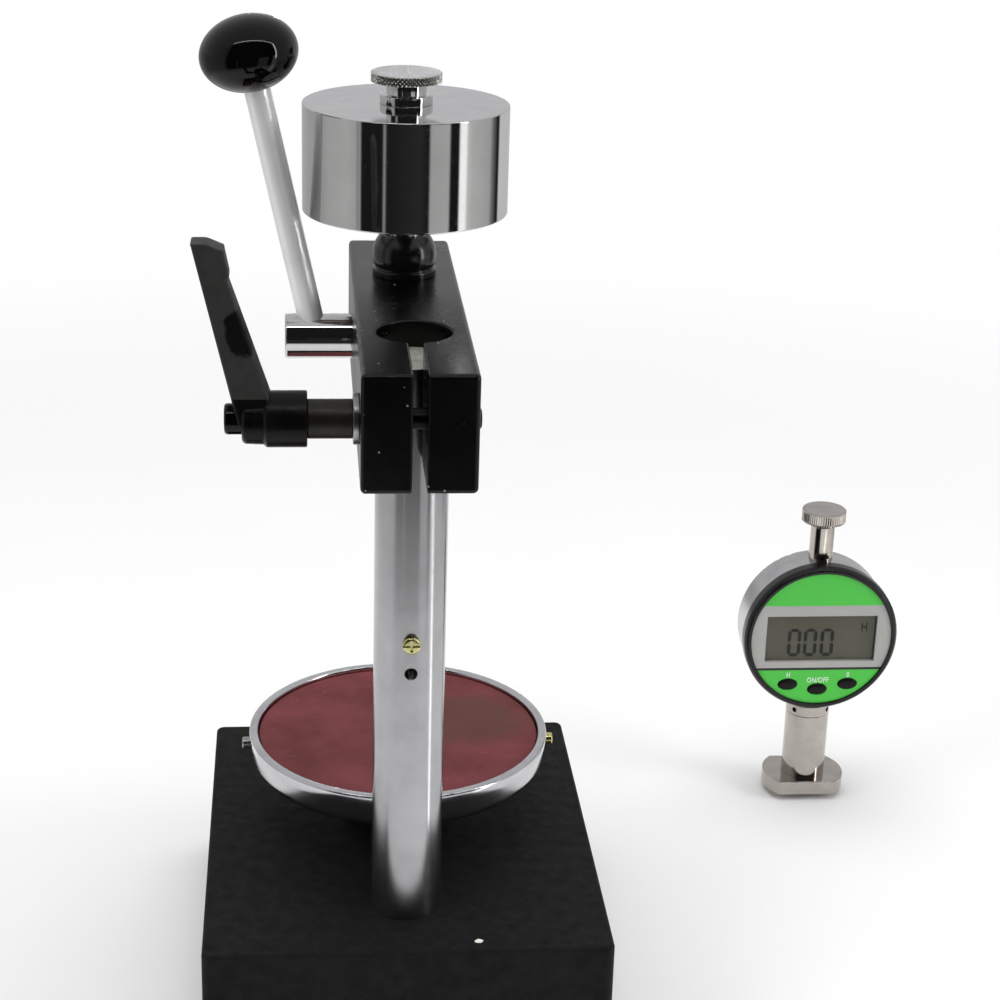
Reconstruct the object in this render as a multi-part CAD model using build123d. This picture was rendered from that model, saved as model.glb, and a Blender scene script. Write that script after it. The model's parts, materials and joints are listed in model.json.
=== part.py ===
"""Durometer test stand with its digital durometer.

The stand is a weighted spindle that a rack and pinion raises and lowers over a self-aligning anvil.
The digital durometer stands beside it.  Millimetres, +Z up.  The origin is on the bench, on the
spindle's axis.  The operator sits on the +Y side, so the column is on the -Y side.
"""
from build123d import *
import math
import os

# ---- base, column and anvil ------------------------------------------------------------------
SOLE_THICK = 3.0            # rubber sheet under the base
SOLE_INSET = 2.5
BASE_WIDTH = 128.0
BASE_DEPTH = 155.0
BASE_HEIGHT = 47.0          # iron block, without the sole
BASE_FRONT = 62.7           # the block's +Y face from the spindle's axis
BASE_CORNER = 5.0
BASE_EDGE = 1.5
THROAT = 63.0               # spindle axis to column axis
COLUMN_R = 11.0
COLUMN_HEIGHT = 182.5       # above the base
SPIGOT_R = 8.0              # column's turned-down foot in the base
SPIGOT_DEPTH = 16.0
STOP_HEIGHT = 96.0          # stop screw above the base
STOP_HEAD_R = 2.8
STOP_HEAD_THICK = 2.0
STOP_SHANK_R = 1.5
STOP_DEPTH = 6.0
SPARE_HOLE_DROP = 10.0      # second stop hole, below the first
SPARE_HOLE_R = 2.0
BOLT_R = 5.0                # column and pedestal bolts, from below
BOLT_HEAD_R = 8.0
BOLT_HEAD_THICK = 10.0
BOLT_SOCKET_R = 4.0
BOLT_SOCKET_DEPTH = 5.0
BOLT_GRIP = 12.0            # thread length inside what the bolt holds
WASHER_R = 9.5
WASHER_THICK = 2.0
BOLT_RECESS = 2.0           # bolt head under the block's lower face
PEDESTAL_R = 18.0
PEDESTAL_FOOT_R = 14.5
PEDESTAL_WAIST = 5.0
BALL_R = 20.0               # spherical seat of the anvil, centred on the anvil's top
LINER_THICK = 1.5
LINER_GAP = 0.03
LINER_RIM = 15.0            # liner's edge below the anvil's top
SEAT_RIM = 14.0             # pedestal's edge below the anvil's top
ANVIL_TOP = 31.0            # above the base
ANVIL_R = 51.0
ANVIL_THICK = 9.0
ANVIL_WALL = 4.2
ANVIL_EDGE = 3.0            # rounded lower edge
INSERT_THICK = 4.0
INSERT_SINK = 1.5           # insert's face under the rim
INSERT_GAP = 0.15
RIM_SCREW_R = 1.5
RIM_SCREW_HEAD_R = 2.0
RIM_SCREW_HEAD = 2.0
RIM_SCREW_DROP = 5.6        # screw axis below the anvil's top

# ---- arm, clamp and drive --------------------------------------------------------------------
ARM_WIDTH = 33.0
ARM_HEIGHT = 35.0
ARM_BOTTOM = 155.5          # above the base
ARM_REAR = 41.0             # behind the column's axis
ARM_FRONT = 42.0            # in front of the spindle's axis
ARM_EDGE = 1.5
SLIT_WIDTH = 4.2
SLIDE_GAP = 0.02            # arm's bore round the column
BORE_CHAMFER = 0.8
BUSH_WALL = 2.0
BUSH_LENGTH = 9.5
RUN_GAP = 0.03              # spindle, pinion and knobs in their bores
MODULE = 1.0
TEETH = 12
RACK_ADDENDUM = 0.7
RACK_DEDENDUM = 1.25
BACKLASH = 0.12
PRESSURE = math.radians(20)
PINION_FACE = 14.0
PINION_INNER = 12.0         # shaft's blind end past the spindle's axis
PINION_STUB = 21.0          # shaft outside the arm
HUB_CHAMFER = 0.8
KEEPER_R = 1.5              # dog screw in the pinion's groove
KEEPER_DOG_R = 1.0
KEEPER_GROOVE = 1.2
KEEPER_PLACE = 12.0         # groove from the spindle's axis, towards the lever
BRAKE_R = 3.0               # nylon plug that brakes the pinion
BRAKE_LENGTH = 2.2
BRAKE_SCREW_SINK = 0.2
STROKE = 7.0                # spindle's travel
LEVER_TILT = 12.5           # degrees the lever leans outwards
LEVER_PLACE = 11.7          # lever's root from the arm's side
LEVER_R = 4.0
LEVER_LENGTH = 90.0         # pinion axis to the middle of the knob
KNOB_R = 15.0
KNOB_HALF = 11.5
KNOB_FLAT_R = 6.5
KNOB_HOLE = 8.0             # rod's end from the knob's middle
CLAMP_BACK = 26.5           # clamp stud behind the column's axis
STUD_R = 3.0
STUD_GAP = 0.2
STUD_PROUD = 1.5
CLAMP_WASHER_R = 7.3
CLAMP_WASHER_THICK = 1.8
SLEEVE_R = 5.6
SLEEVE_LENGTH = 12.7
GRIP_HUB_R = 8.0
GRIP_HUB_LENGTH = 20.6
GRIP_TAPER = 1.2
GRIP_CORE_R = 5.0           # toothed core that turns the stud
GRIP_CORE_LENGTH = 12.0
GRIP_CORE_TEETH = 12
GRIP_WEB = 2.0
GRIP_POCKET_R = 4.7
GRIP_TOP = 51.0             # handle's end above the stud
GRIP_OFFSET = 3.3           # handle's root outside the hub's middle
GRIP_LEAN = 0.285           # handle's outward lean, as run over rise
GRIP_ROOT_WIDTH = 10.6
GRIP_TIP_WIDTH = 7.6
GRIP_ROOT_DEPTH = 11.0
GRIP_TIP_DEPTH = 8.6
GRIP_PULL = 3.0
CAP_HEAD_R = 4.2
CAP_SHANK_R = 2.0
CAP_HEAD = 3.1
SPRING_WIRE = 0.8
SPRING_TURNS = 3
INDENTER_TURNS = 7

# ---- spindle, weight and knob ----------------------------------------------------------------
SPINDLE_R = 6.0
SPINDLE_BELOW = 13.0        # spindle's end under the arm
SOCKET_R = 3.4              # tapping bore for the durometer's stud
SOCKET_DEPTH = 14.0
BUFFER_R = 9.7
BUFFER_HEIGHT = 13.0
BUFFER_FOOT_R = 10.3
BUFFER_FOOT = 3.0
BUFFER_GROOVE = 0.8
BUFFER_DOME = 4.0
BUFFER_GAP = 0.4
WEIGHT_R = 32.0
WEIGHT_HEIGHT = 33.5
WEIGHT_EDGE = 0.4
WEIGHT_CLEAR = 0.5          # weight above the buffer, past the stroke
NECK_R = 4.0                # spindle's upper end through the weight
TOP_KNOB_R = 11.0
TOP_KNOB_THICK = 3.8
TOP_NECK_R = 6.2
TOP_NECK = 1.6
TOP_COLLAR_R = 8.0
TOP_COLLAR = 4.2
TOP_GROOVE = 0.6

# ---- digital durometer -----------------------------------------------------------------------
GAUGE_X = 167.5
GAUGE_Y = 100.0
TIP_R = 2.54                # hemispherical indenter
TIP_PROUD = 2.54
ROD_R = 1.5
ROD_GAP = 0.1
FOOT_R = 16.0
FOOT_FLAT = 11.4
FOOT_THICK = 5.8
BARREL_R = 8.5
BARREL_LENGTH = 26.8
BARREL_BORE = 5.6
BARREL_FLOOR = 1.2
COLLAR_THICK = 1.6          # indenter's collar, which rests on the barrel's floor
COLLAR_GAP = 0.3
RING_R = 8.6
RING_HEIGHT = 4.5
RING_SCREW_R = 1.0
RING_SCREW_LENGTH = 3.4
RING_SCREW_ANGLE = 50.0
GAUGE_NECK_R = 4.0
GAUGE_NECK = 2.4
CASE_R = 29.0
CASE_FRONT = 7.0            # case's front edge from the barrel's axis
CASE_BACK = 10.5
CASE_WALL = 2.0
CASE_ROUND = 3.0
BEZEL_R = 30.0
BEZEL_FACE_R = 27.4
BEZEL_DEPTH = 6.0
BEZEL_LIP = 0.8
FACE_THICK = 1.6
FACE_SINK = 0.8
LCD_WIDTH = 43.2
LCD_HEIGHT = 19.2
WINDOW_THICK = 0.8
LCD_THICK = 1.6
BOARD_R = 24.0
BOARD_THICK = 1.6
BUTTON_LONG = 3.8
BUTTON_HIGH = 2.35
BUTTON_PROUD = 0.7
BUTTON_TRAVEL = 0.6
BUTTON_GAP = 0.15
BUTTON_SPOTS = {"hold": (-11.8, -19.2), "power": (0.0, -21.4), "zero": (11.8, -19.2)}
CELL_R = 10.0
CELL_THICK = 3.2
COVER_R = 12.5
COVER_THICK = 1.5
COVER_SLOT = 1.8
COVER_DROP = 8.0            # battery under the case's middle
STEM_R = 4.6
STEM_LENGTH = 14.0
THREAD_R = 3.0              # stem's upper thread
THREAD_LENGTH = 4.5
THUMB_R = 8.4
THUMB_RIM = 4.6
THUMB_CONE = 1.8
SEAT_GAP = 0.02             # fits between pieces fixed together

# ---- levels and places worked out from the sizes ---------------------------------------------
BASE_TOP = SOLE_THICK + BASE_HEIGHT
BASE_MID_Y = BASE_FRONT - BASE_DEPTH / 2
COLUMN_Y = -THROAT
COLUMN_TOP = BASE_TOP + COLUMN_HEIGHT
ANVIL_Z = BASE_TOP + ANVIL_TOP
ARM_Z = BASE_TOP + ARM_BOTTOM
ARM_TOP = ARM_Z + ARM_HEIGHT
ARM_MID = ARM_Z + ARM_HEIGHT / 2
ARM_SIDE = -ARM_WIDTH / 2   # the lever's side
PITCH_R = MODULE * TEETH / 2
TIP_CIRCLE = PITCH_R + MODULE
RACK_LINE = -(SPINDLE_R - MODULE - RACK_ADDENDUM)
PINION_Y = RACK_LINE - PITCH_R
STUD_Y = COLUMN_Y - CLAMP_BACK
WEIGHT_Z = ARM_TOP + BUFFER_HEIGHT + STROKE + WEIGHT_CLEAR
WEIGHT_TOP = WEIGHT_Z + WEIGHT_HEIGHT
SPINDLE_Z = ARM_Z - SPINDLE_BELOW
FOOT_Z = TIP_PROUD
FOOT_TOP = FOOT_Z + FOOT_THICK
RING_Z = FOOT_TOP + BARREL_LENGTH
NECK_Z = RING_Z + RING_HEIGHT
CASE_Z = NECK_Z + GAUGE_NECK + CASE_R
STEM_TOP = CASE_Z + CASE_R + STEM_LENGTH
CASE_FRONT_Y = GAUGE_Y - CASE_FRONT
CASE_BACK_Y = GAUGE_Y + CASE_BACK
CELL_Z = CASE_Z - COVER_DROP

TURNS = {"+Z": (0, 0, 0), "-Z": (180, 0, 0), "+X": (0, 90, 0), "-X": (0, -90, 0), "+Y": (-90, 0, 0), "-Y": (90, 0, 0)}


def rod(radius, length, at, way="+Z"):
    """A cylinder that starts at a point and runs one way."""
    return Pos(*at) * Rot(*TURNS[way]) * Cylinder(radius, length, align=(Align.CENTER, Align.CENTER, Align.MIN))


def tube(outer, inner, length, at, way="+Z"):
    """A cylinder with a bore right through."""
    return rod(outer, length, at, way) - rod(inner, length, at, way)


def turned(profile, at=(0, 0, 0), way="+Z"):
    """A solid of revolution: (radius, height) corners turned about the line that leaves `at`."""
    face = make_face(Polyline(*[(r, 0, z) for r, z in profile], close=True))
    return Pos(*at) * Rot(*TURNS[way]) * revolve(face, Axis.Z)


def slab(width, depth, height, at):
    """A block centred on a point in plan, standing on it."""
    return Pos(*at) * Box(width, depth, height, align=(Align.CENTER, Align.CENTER, Align.MIN))


def hexagon(radius, depth, at, way="+Z"):
    """A hexagon prism, for sockets; the radius is to its flats."""
    prism = extrude(RegularPolygon(radius, 6, major_radius=False), depth)
    return Pos(*at) * Rot(*TURNS[way]) * prism


def ball_cap(radius, top, middle=ANVIL_Z):
    """The part of a ball about the anvil's middle that lies below a level."""
    ball = Pos(0, 0, middle) * Sphere(radius)
    return ball - slab(4 * radius, 4 * radius, 2 * radius, (0, 0, top))


def cap_screw(x, y):
    """A socket screw from under the base, its head in the block's counterbore."""
    head_z = SOLE_THICK + BOLT_RECESS
    shank = BASE_HEIGHT - BOLT_RECESS - BOLT_HEAD_THICK + BOLT_GRIP
    screw = rod(BOLT_HEAD_R, BOLT_HEAD_THICK, (x, y, head_z))
    screw += rod(BOLT_R, shank, (x, y, head_z + BOLT_HEAD_THICK))
    return screw - hexagon(BOLT_SOCKET_R, BOLT_SOCKET_DEPTH, (x, y, head_z))


def bolt_room(x, y, top):
    """The counterbore and the hole that a base screw takes."""
    deep = BOLT_RECESS + BOLT_HEAD_THICK + WASHER_THICK
    room = rod(WASHER_R + SEAT_GAP, deep, (x, y, SOLE_THICK))
    return room + rod(BOLT_R + STUD_GAP, top - SOLE_THICK, (x, y, SOLE_THICK))


def bolt_washer(x, y):
    """The washer between a base screw's head and the counterbore's roof."""
    z = SOLE_THICK + BOLT_RECESS + BOLT_HEAD_THICK
    return tube(WASHER_R, BOLT_R + STUD_GAP, WASHER_THICK, (x, y, z))


# ---- base, column and anvil ------------------------------------------------------------------
def base():
    """Cast block with rounded upright corners, bored for the column and for both screws."""
    block = slab(BASE_WIDTH, BASE_DEPTH, BASE_HEIGHT, (0, BASE_MID_Y, SOLE_THICK))
    block = fillet(block.edges().filter_by(Axis.Z), BASE_CORNER)
    block = fillet(block.faces().sort_by(Axis.Z)[-1].edges(), BASE_EDGE)
    block -= rod(SPIGOT_R + SEAT_GAP, SPIGOT_DEPTH, (0, COLUMN_Y, BASE_TOP), "-Z")
    block -= bolt_room(0, COLUMN_Y, BASE_TOP)
    return block - bolt_room(0, 0, BASE_TOP)


def sole():
    """Rubber sheet glued under the block."""
    sheet = slab(BASE_WIDTH - 2 * SOLE_INSET, BASE_DEPTH - 2 * SOLE_INSET, SOLE_THICK, (0, BASE_MID_Y, 0))
    return fillet(sheet.edges().filter_by(Axis.Z), BASE_CORNER)


def column():
    """Ground round bar: a spigot in the base, tapped below and at the rear for the stop screw."""
    bar = rod(COLUMN_R, COLUMN_HEIGHT, (0, COLUMN_Y, BASE_TOP))
    bar = chamfer(bar.faces().sort_by(Axis.Z)[-1].edges(), 1.0)
    bar += rod(SPIGOT_R, SPIGOT_DEPTH, (0, COLUMN_Y, BASE_TOP), "-Z")
    thread = BASE_HEIGHT - BOLT_RECESS - BOLT_HEAD_THICK + BOLT_GRIP
    screw_end = SOLE_THICK + BOLT_RECESS + BOLT_HEAD_THICK + thread
    foot = BASE_TOP - SPIGOT_DEPTH
    bar -= rod(BOLT_R + SEAT_GAP, screw_end - foot + 1.0, (0, COLUMN_Y, foot))
    rear = COLUMN_Y - COLUMN_R
    stop = BASE_TOP + STOP_HEIGHT
    bar -= rod(STOP_SHANK_R + SEAT_GAP, STOP_DEPTH + 1.0, (0, rear, stop), "+Y")
    return bar - rod(SPARE_HOLE_R, STOP_DEPTH, (0, rear, stop - SPARE_HOLE_DROP), "+Y")


def stop_screw():
    """Slotted pan-head screw in the column's rear, on which the arm comes to rest."""
    rear = COLUMN_Y - COLUMN_R
    stop = BASE_TOP + STOP_HEIGHT
    head = rod(STOP_HEAD_R, STOP_HEAD_THICK, (0, rear, stop), "-Y")
    head = fillet(head.faces().sort_by(Axis.Y)[0].edges(), 0.9)
    head -= Pos(0, rear - STOP_HEAD_THICK, stop) * Box(2.2 * STOP_HEAD_R, 1.6, 0.7)
    return head + rod(STOP_SHANK_R, STOP_DEPTH, (0, rear, stop), "+Y")


def pedestal():
    """Turned post under the anvil, hollowed on top to hold the spherical liner."""
    seat = ANVIL_Z - SEAT_RIM
    profile = [(0, BASE_TOP), (PEDESTAL_R, BASE_TOP), (PEDESTAL_R, BASE_TOP + 3.0)]
    profile += [(PEDESTAL_FOOT_R, BASE_TOP + PEDESTAL_WAIST), (PEDESTAL_FOOT_R, seat - 4.0)]
    profile += [(PEDESTAL_R - 0.5, seat - 1.5), (PEDESTAL_R - 0.5, seat), (0, seat)]
    post = turned(profile) - Pos(0, 0, ANVIL_Z) * Sphere(BALL_R + LINER_THICK + 2 * LINER_GAP)
    return post - rod(BOLT_R + SEAT_GAP, pedestal_thread(), (0, 0, BASE_TOP))


def pedestal_thread():
    """Depth of the pedestal's tapped hole, which stays under the liner."""
    floor = ANVIL_Z - BALL_R - LINER_THICK - 2 * LINER_GAP
    return floor - BASE_TOP - 1.5


def pedestal_screw():
    """Socket screw that holds the pedestal, cut to end in its tapped hole."""
    screw = cap_screw(0, 0)
    return screw - slab(40, 40, 60, (0, 0, BASE_TOP + pedestal_thread() - 0.5))


def liner():
    """Bronze shell between the pedestal's hollow and the anvil's ball."""
    shell = ball_cap(BALL_R + LINER_THICK + LINER_GAP, ANVIL_Z - LINER_RIM)
    return shell - Pos(0, 0, ANVIL_Z) * Sphere(BALL_R + LINER_GAP)


def anvil():
    """Shallow turned dish with a ball under it, centred on its own rim's middle."""
    low = ANVIL_Z - ANVIL_THICK
    floor = ANVIL_Z - INSERT_SINK - INSERT_THICK
    dish = rod(ANVIL_R, ANVIL_THICK, (0, 0, low))
    dish = fillet(dish.faces().sort_by(Axis.Z)[0].edges(), ANVIL_EDGE)
    dish = fillet(dish.faces().sort_by(Axis.Z)[-1].edges(), 0.8)
    dish += ball_cap(BALL_R, low + 1.0)
    dish -= rod(ANVIL_R - ANVIL_WALL, ANVIL_THICK, (0, 0, floor))
    for way, side in (("-X", 1), ("+X", -1)):
        dish -= rod(RIM_SCREW_R + SEAT_GAP, ANVIL_WALL + 3.0, (side * ANVIL_R, 0, ANVIL_Z - RIM_SCREW_DROP), way)
    return dish


def insert():
    """Flat specimen plate let into the dish."""
    z = ANVIL_Z - INSERT_SINK - INSERT_THICK
    plate = rod(ANVIL_R - ANVIL_WALL - INSERT_GAP, INSERT_THICK, (0, 0, z))
    for way, side in (("-X", 1), ("+X", -1)):
        plate -= rod(RIM_SCREW_R + SEAT_GAP, ANVIL_WALL + 3.0, (side * ANVIL_R, 0, ANVIL_Z - RIM_SCREW_DROP), way)
    return plate


def rim_screw(side):
    """Small screw through the dish's rim into the specimen plate."""
    way, back = ("-X", "+X") if side > 0 else ("+X", "-X")
    at = (side * ANVIL_R, 0, ANVIL_Z - RIM_SCREW_DROP)
    screw = rod(RIM_SCREW_R, ANVIL_WALL + 2.5, at, way) + rod(RIM_SCREW_HEAD_R, RIM_SCREW_HEAD, at, back)
    slot_x = side * (ANVIL_R + RIM_SCREW_HEAD)
    return screw - Pos(slot_x, 0, at[2]) * Box(1.2, 2.2 * RIM_SCREW_HEAD_R, 0.6)


# ---- arm, clamp and drive --------------------------------------------------------------------
def arm():
    """Square bracket: split clamp round the column, bore for the spindle, cross bore for the pinion."""
    front, rear = ARM_FRONT, COLUMN_Y - ARM_REAR
    body = slab(ARM_WIDTH, front - rear, ARM_HEIGHT, (0, (front + rear) / 2, ARM_Z))
    body = fillet(body.edges(), ARM_EDGE)
    bore = COLUMN_R + SLIDE_GAP
    body -= rod(bore, ARM_HEIGHT, (0, COLUMN_Y, ARM_Z))
    lip = [(0, 0), (bore + BORE_CHAMFER, 0), (bore, BORE_CHAMFER), (0, BORE_CHAMFER)]
    body -= turned(lip, (0, COLUMN_Y, ARM_Z)) + turned(lip, (0, COLUMN_Y, ARM_TOP), "-Z")
    body -= slab(SLIT_WIDTH, ARM_REAR + 1, ARM_HEIGHT, (0, COLUMN_Y - (ARM_REAR + 1) / 2, ARM_Z))
    body -= rod(SPINDLE_R + BUSH_WALL + SEAT_GAP, ARM_HEIGHT, (0, 0, ARM_Z))
    body -= rod(TIP_CIRCLE + RUN_GAP, ARM_WIDTH / 2 + PINION_INNER + 0.5, (ARM_SIDE, PINION_Y, ARM_MID), "+X")
    body -= rod(STUD_R + STUD_GAP, ARM_WIDTH / 2, (ARM_SIDE, STUD_Y, ARM_MID), "+X")
    body -= rod(STUD_R + RUN_GAP, ARM_WIDTH / 2, (0, STUD_Y, ARM_MID), "+X")
    body -= rod(KEEPER_R + SEAT_GAP, ARM_HEIGHT / 2, (-KEEPER_PLACE, PINION_Y, ARM_Z))
    return body - rod(BRAKE_R + SEAT_GAP, ARM_WIDTH / 2, (-ARM_SIDE, PINION_Y, ARM_MID), "-X")


def bush(z):
    """Plain bearing pressed into the arm for the spindle."""
    return tube(SPINDLE_R + BUSH_WALL, SPINDLE_R + RUN_GAP, BUSH_LENGTH, (0, 0, z))


def tooth_angle(radius):
    """Half the angle that an involute pinion tooth takes at a radius."""
    base_circle = PITCH_R * math.cos(PRESSURE)
    local = math.acos(min(1.0, base_circle / radius))
    at_pitch = math.pi / (2 * TEETH) - BACKLASH / (4 * PITCH_R)
    return at_pitch + (math.tan(PRESSURE) - PRESSURE) - (math.tan(local) - local)


def pinion():
    """Pinion cut into a plain shaft; the shaft's outer end is the lever's hub."""
    start = ARM_SIDE - PINION_STUB
    shaft = rod(TIP_CIRCLE, PINION_INNER - start, (start, PINION_Y, ARM_MID), "+X")
    shaft = chamfer(shaft.edges().filter_by(GeomType.CIRCLE), HUB_CHAMFER)
    root = PITCH_R - RACK_ADDENDUM - 0.35
    flank = [PITCH_R * math.cos(PRESSURE), PITCH_R, TIP_CIRCLE]
    step = 2 * math.pi / TEETH
    left = [(root, tooth_angle(flank[0]))] + [(r, tooth_angle(r)) for r in flank]
    left += [(TIP_CIRCLE + MODULE, tooth_angle(TIP_CIRCLE))]
    right = [(r, step - a) for r, a in reversed(left)]
    points = [(r * math.cos(a), r * math.sin(a)) for r, a in left + right]
    space = Pos(-PINION_FACE / 2, PINION_Y, ARM_MID) * Rot(0, 90, 0) * Rot(0, 0, 90)
    cutter = extrude(make_face(Polyline(*points, close=True)), PINION_FACE)
    for i in range(TEETH):
        shaft -= space * Rot(0, 0, math.degrees(i * step)) * cutter
    groove = tube(TIP_CIRCLE + 1, TIP_CIRCLE - KEEPER_GROOVE, 2 * KEEPER_DOG_R + 0.2, (0, 0, 0), "+X")
    shaft -= Pos(-KEEPER_PLACE - KEEPER_DOG_R - 0.1, PINION_Y, ARM_MID) * groove
    return shaft - lever_line() * rod(LEVER_R + SEAT_GAP, 3 * TIP_CIRCLE, (0, 0, 0))


def lever_line():
    """Place of the lever: its foot on the pinion's axis, its +Z along the lever."""
    return Pos(ARM_SIDE - LEVER_PLACE, PINION_Y, ARM_MID) * Rot(0, -LEVER_TILT, 0)


def lever():
    """Plain round lever, screwed into the hub."""
    bar = rod(LEVER_R, LEVER_LENGTH + KNOB_HOLE, (0, 0, 0))
    return lever_line() * chamfer(bar.faces().sort_by(Axis.Z)[0].edges(), 0.6)


def lever_knob():
    """Flattened ball knob with a small flat under it."""
    ball = scale(Sphere(KNOB_R), (1, 1, KNOB_HALF / KNOB_R))
    ball += rod(KNOB_FLAT_R, KNOB_HALF, (0, 0, -KNOB_HALF))
    ball -= rod(LEVER_R + SEAT_GAP, KNOB_HALF + KNOB_HOLE, (0, 0, -KNOB_HALF))
    return lever_line() * Pos(0, 0, LEVER_LENGTH) * ball


def keeper():
    """Dog screw from below: its tip in the shaft's groove keeps the pinion from moving endways."""
    screw = rod(KEEPER_R, ARM_HEIGHT / 2 - TIP_CIRCLE - 0.3, (-KEEPER_PLACE, PINION_Y, ARM_Z))
    screw += rod(KEEPER_DOG_R, ARM_HEIGHT / 2 - TIP_CIRCLE + KEEPER_GROOVE - 0.15, (-KEEPER_PLACE, PINION_Y, ARM_Z))
    return screw - hexagon(0.8, 1.5, (-KEEPER_PLACE, PINION_Y, ARM_Z))


def brake_plug():
    """Nylon plug that bears on the pinion shaft's blind end."""
    return rod(BRAKE_R, BRAKE_LENGTH, (PINION_INNER, PINION_Y, ARM_MID), "+X")


def brake_screw():
    """Set screw that loads the brake plug."""
    start = PINION_INNER + BRAKE_LENGTH
    length = -ARM_SIDE - start - BRAKE_SCREW_SINK
    screw = rod(BRAKE_R, length, (start, PINION_Y, ARM_MID), "+X")
    return screw - hexagon(1.25, length / 2, (start + length, PINION_Y, ARM_MID), "-X")


def clamp_washer():
    """Plain washer between the arm and the clamp's sleeve."""
    return tube(CLAMP_WASHER_R, STUD_R + STUD_GAP, CLAMP_WASHER_THICK, (ARM_SIDE, STUD_Y, ARM_MID), "-X")


def clamp_sleeve():
    """Spacer on the stud that the handle pushes against the washer."""
    start = ARM_SIDE - CLAMP_WASHER_THICK
    sleeve = tube(SLEEVE_R, STUD_R + SEAT_GAP, SLEEVE_LENGTH, (start, STUD_Y, ARM_MID), "-X")
    return chamfer(sleeve.faces().sort_by(Axis.X)[-1].edges().sort_by(SortBy.RADIUS)[-1], 0.4)


def clamp_stud():
    """Clamp screw right through the arm, with the toothed core that carries the handle."""
    core_end = core_start() - GRIP_CORE_LENGTH
    tip = -ARM_SIDE + STUD_PROUD
    stud = rod(STUD_R, tip - core_start(), (core_start(), STUD_Y, ARM_MID), "+X")
    stud = chamfer(stud.faces().sort_by(Axis.X)[-1].edges(), 0.8)
    core = rod(GRIP_CORE_R, GRIP_CORE_LENGTH, (0, 0, 0))
    notch = rod(0.55, GRIP_CORE_LENGTH, (GRIP_CORE_R + 0.1, 0, 0))
    for i in range(GRIP_CORE_TEETH):
        core -= Rot(0, 0, i * 360 / GRIP_CORE_TEETH) * notch
    stud += Pos(core_start(), STUD_Y, ARM_MID) * Rot(*TURNS["-X"]) * core
    return stud - rod(CAP_SHANK_R + SEAT_GAP, 8.0, (core_end, STUD_Y, ARM_MID), "+X")


def core_start():
    """Where the sleeve ends and the handle's core starts."""
    return ARM_SIDE - CLAMP_WASHER_THICK - SLEEVE_LENGTH


def clamp_handle():
    """Adjustable clamping lever: tapered hub, leaning paddle with a stepped tip."""
    hub = [(0, 0), (GRIP_HUB_R, 0), (GRIP_HUB_R, GRIP_HUB_LENGTH * 0.45)]
    hub += [(GRIP_HUB_R - GRIP_TAPER, GRIP_HUB_LENGTH), (0, GRIP_HUB_LENGTH)]
    body = turned(hub, (core_start(), STUD_Y, ARM_MID), "-X")
    root = core_start() - GRIP_HUB_LENGTH / 2 - GRIP_OFFSET
    sections = []
    for rise, width, depth in ((0.0, GRIP_ROOT_WIDTH, GRIP_ROOT_DEPTH), (GRIP_TOP, GRIP_TIP_WIDTH, GRIP_TIP_DEPTH)):
        middle = (root - GRIP_LEAN * rise, STUD_Y, ARM_MID + rise)
        sections.append(Plane(origin=middle) * RectangleRounded(width, depth, 0.28 * width))
    paddle = loft(sections)
    tip_x = root - GRIP_LEAN * GRIP_TOP + GRIP_TIP_WIDTH / 2
    tip = ARM_MID + GRIP_TOP
    step = slab(5.0, 2 * GRIP_TIP_DEPTH, 12.0, (tip_x + 1.4, STUD_Y, tip - 4.0))
    body += paddle - step
    body -= rod(GRIP_CORE_R + RUN_GAP, GRIP_CORE_LENGTH, (core_start(), STUD_Y, ARM_MID), "-X")
    body -= rod(CAP_SHANK_R + STUD_GAP, GRIP_HUB_LENGTH, (core_start(), STUD_Y, ARM_MID), "-X")
    pocket = core_start() - GRIP_CORE_LENGTH - GRIP_WEB
    return body - rod(GRIP_POCKET_R, GRIP_HUB_LENGTH, (pocket, STUD_Y, ARM_MID), "-X")


def clamp_cap():
    """Domed screw that keeps the handle on its core."""
    start = core_start() - GRIP_CORE_LENGTH
    length = cap_face() - start
    head = rod(CAP_HEAD_R, CAP_HEAD, (cap_face(), STUD_Y, ARM_MID), "-X")
    head = fillet(head.faces().sort_by(Axis.X)[0].edges(), 1.2)
    shank = rod(CAP_SHANK_R, start - cap_face() + 7.0, (cap_face(), STUD_Y, ARM_MID), "+X")
    return head + shank if length < 0 else shank


def cap_face():
    """Inner face of the cap screw's head, just inside the handle's pocket."""
    return core_start() - GRIP_HUB_LENGTH + 0.6


def clamp_spring():
    """Coil spring between the handle's web and the cap screw's head."""
    web = core_start() - GRIP_CORE_LENGTH - GRIP_WEB
    length = web - cap_face()
    radius = CAP_SHANK_R + 1.1
    pitch = (length - SPRING_WIRE - 0.1) / SPRING_TURNS
    return Pos(web - 0.05, STUD_Y, ARM_MID) * Rot(*TURNS["-X"]) * coil(radius, SPRING_WIRE, pitch, SPRING_TURNS)


def coil(radius, wire, pitch, turns):
    """Round-wire spring standing on its own +Z axis from height 0, joined from single turns."""
    path = Helix(pitch, pitch, radius, center=(0, 0, wire / 2))
    section = Plane(origin=path @ 0, z_dir=path % 0) * Circle(wire / 2)
    one = sweep(section, path=path)
    first, *rest = [Pos(0, 0, pitch * i) * one for i in range(int(turns))]
    return first.fuse(*rest)


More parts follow.
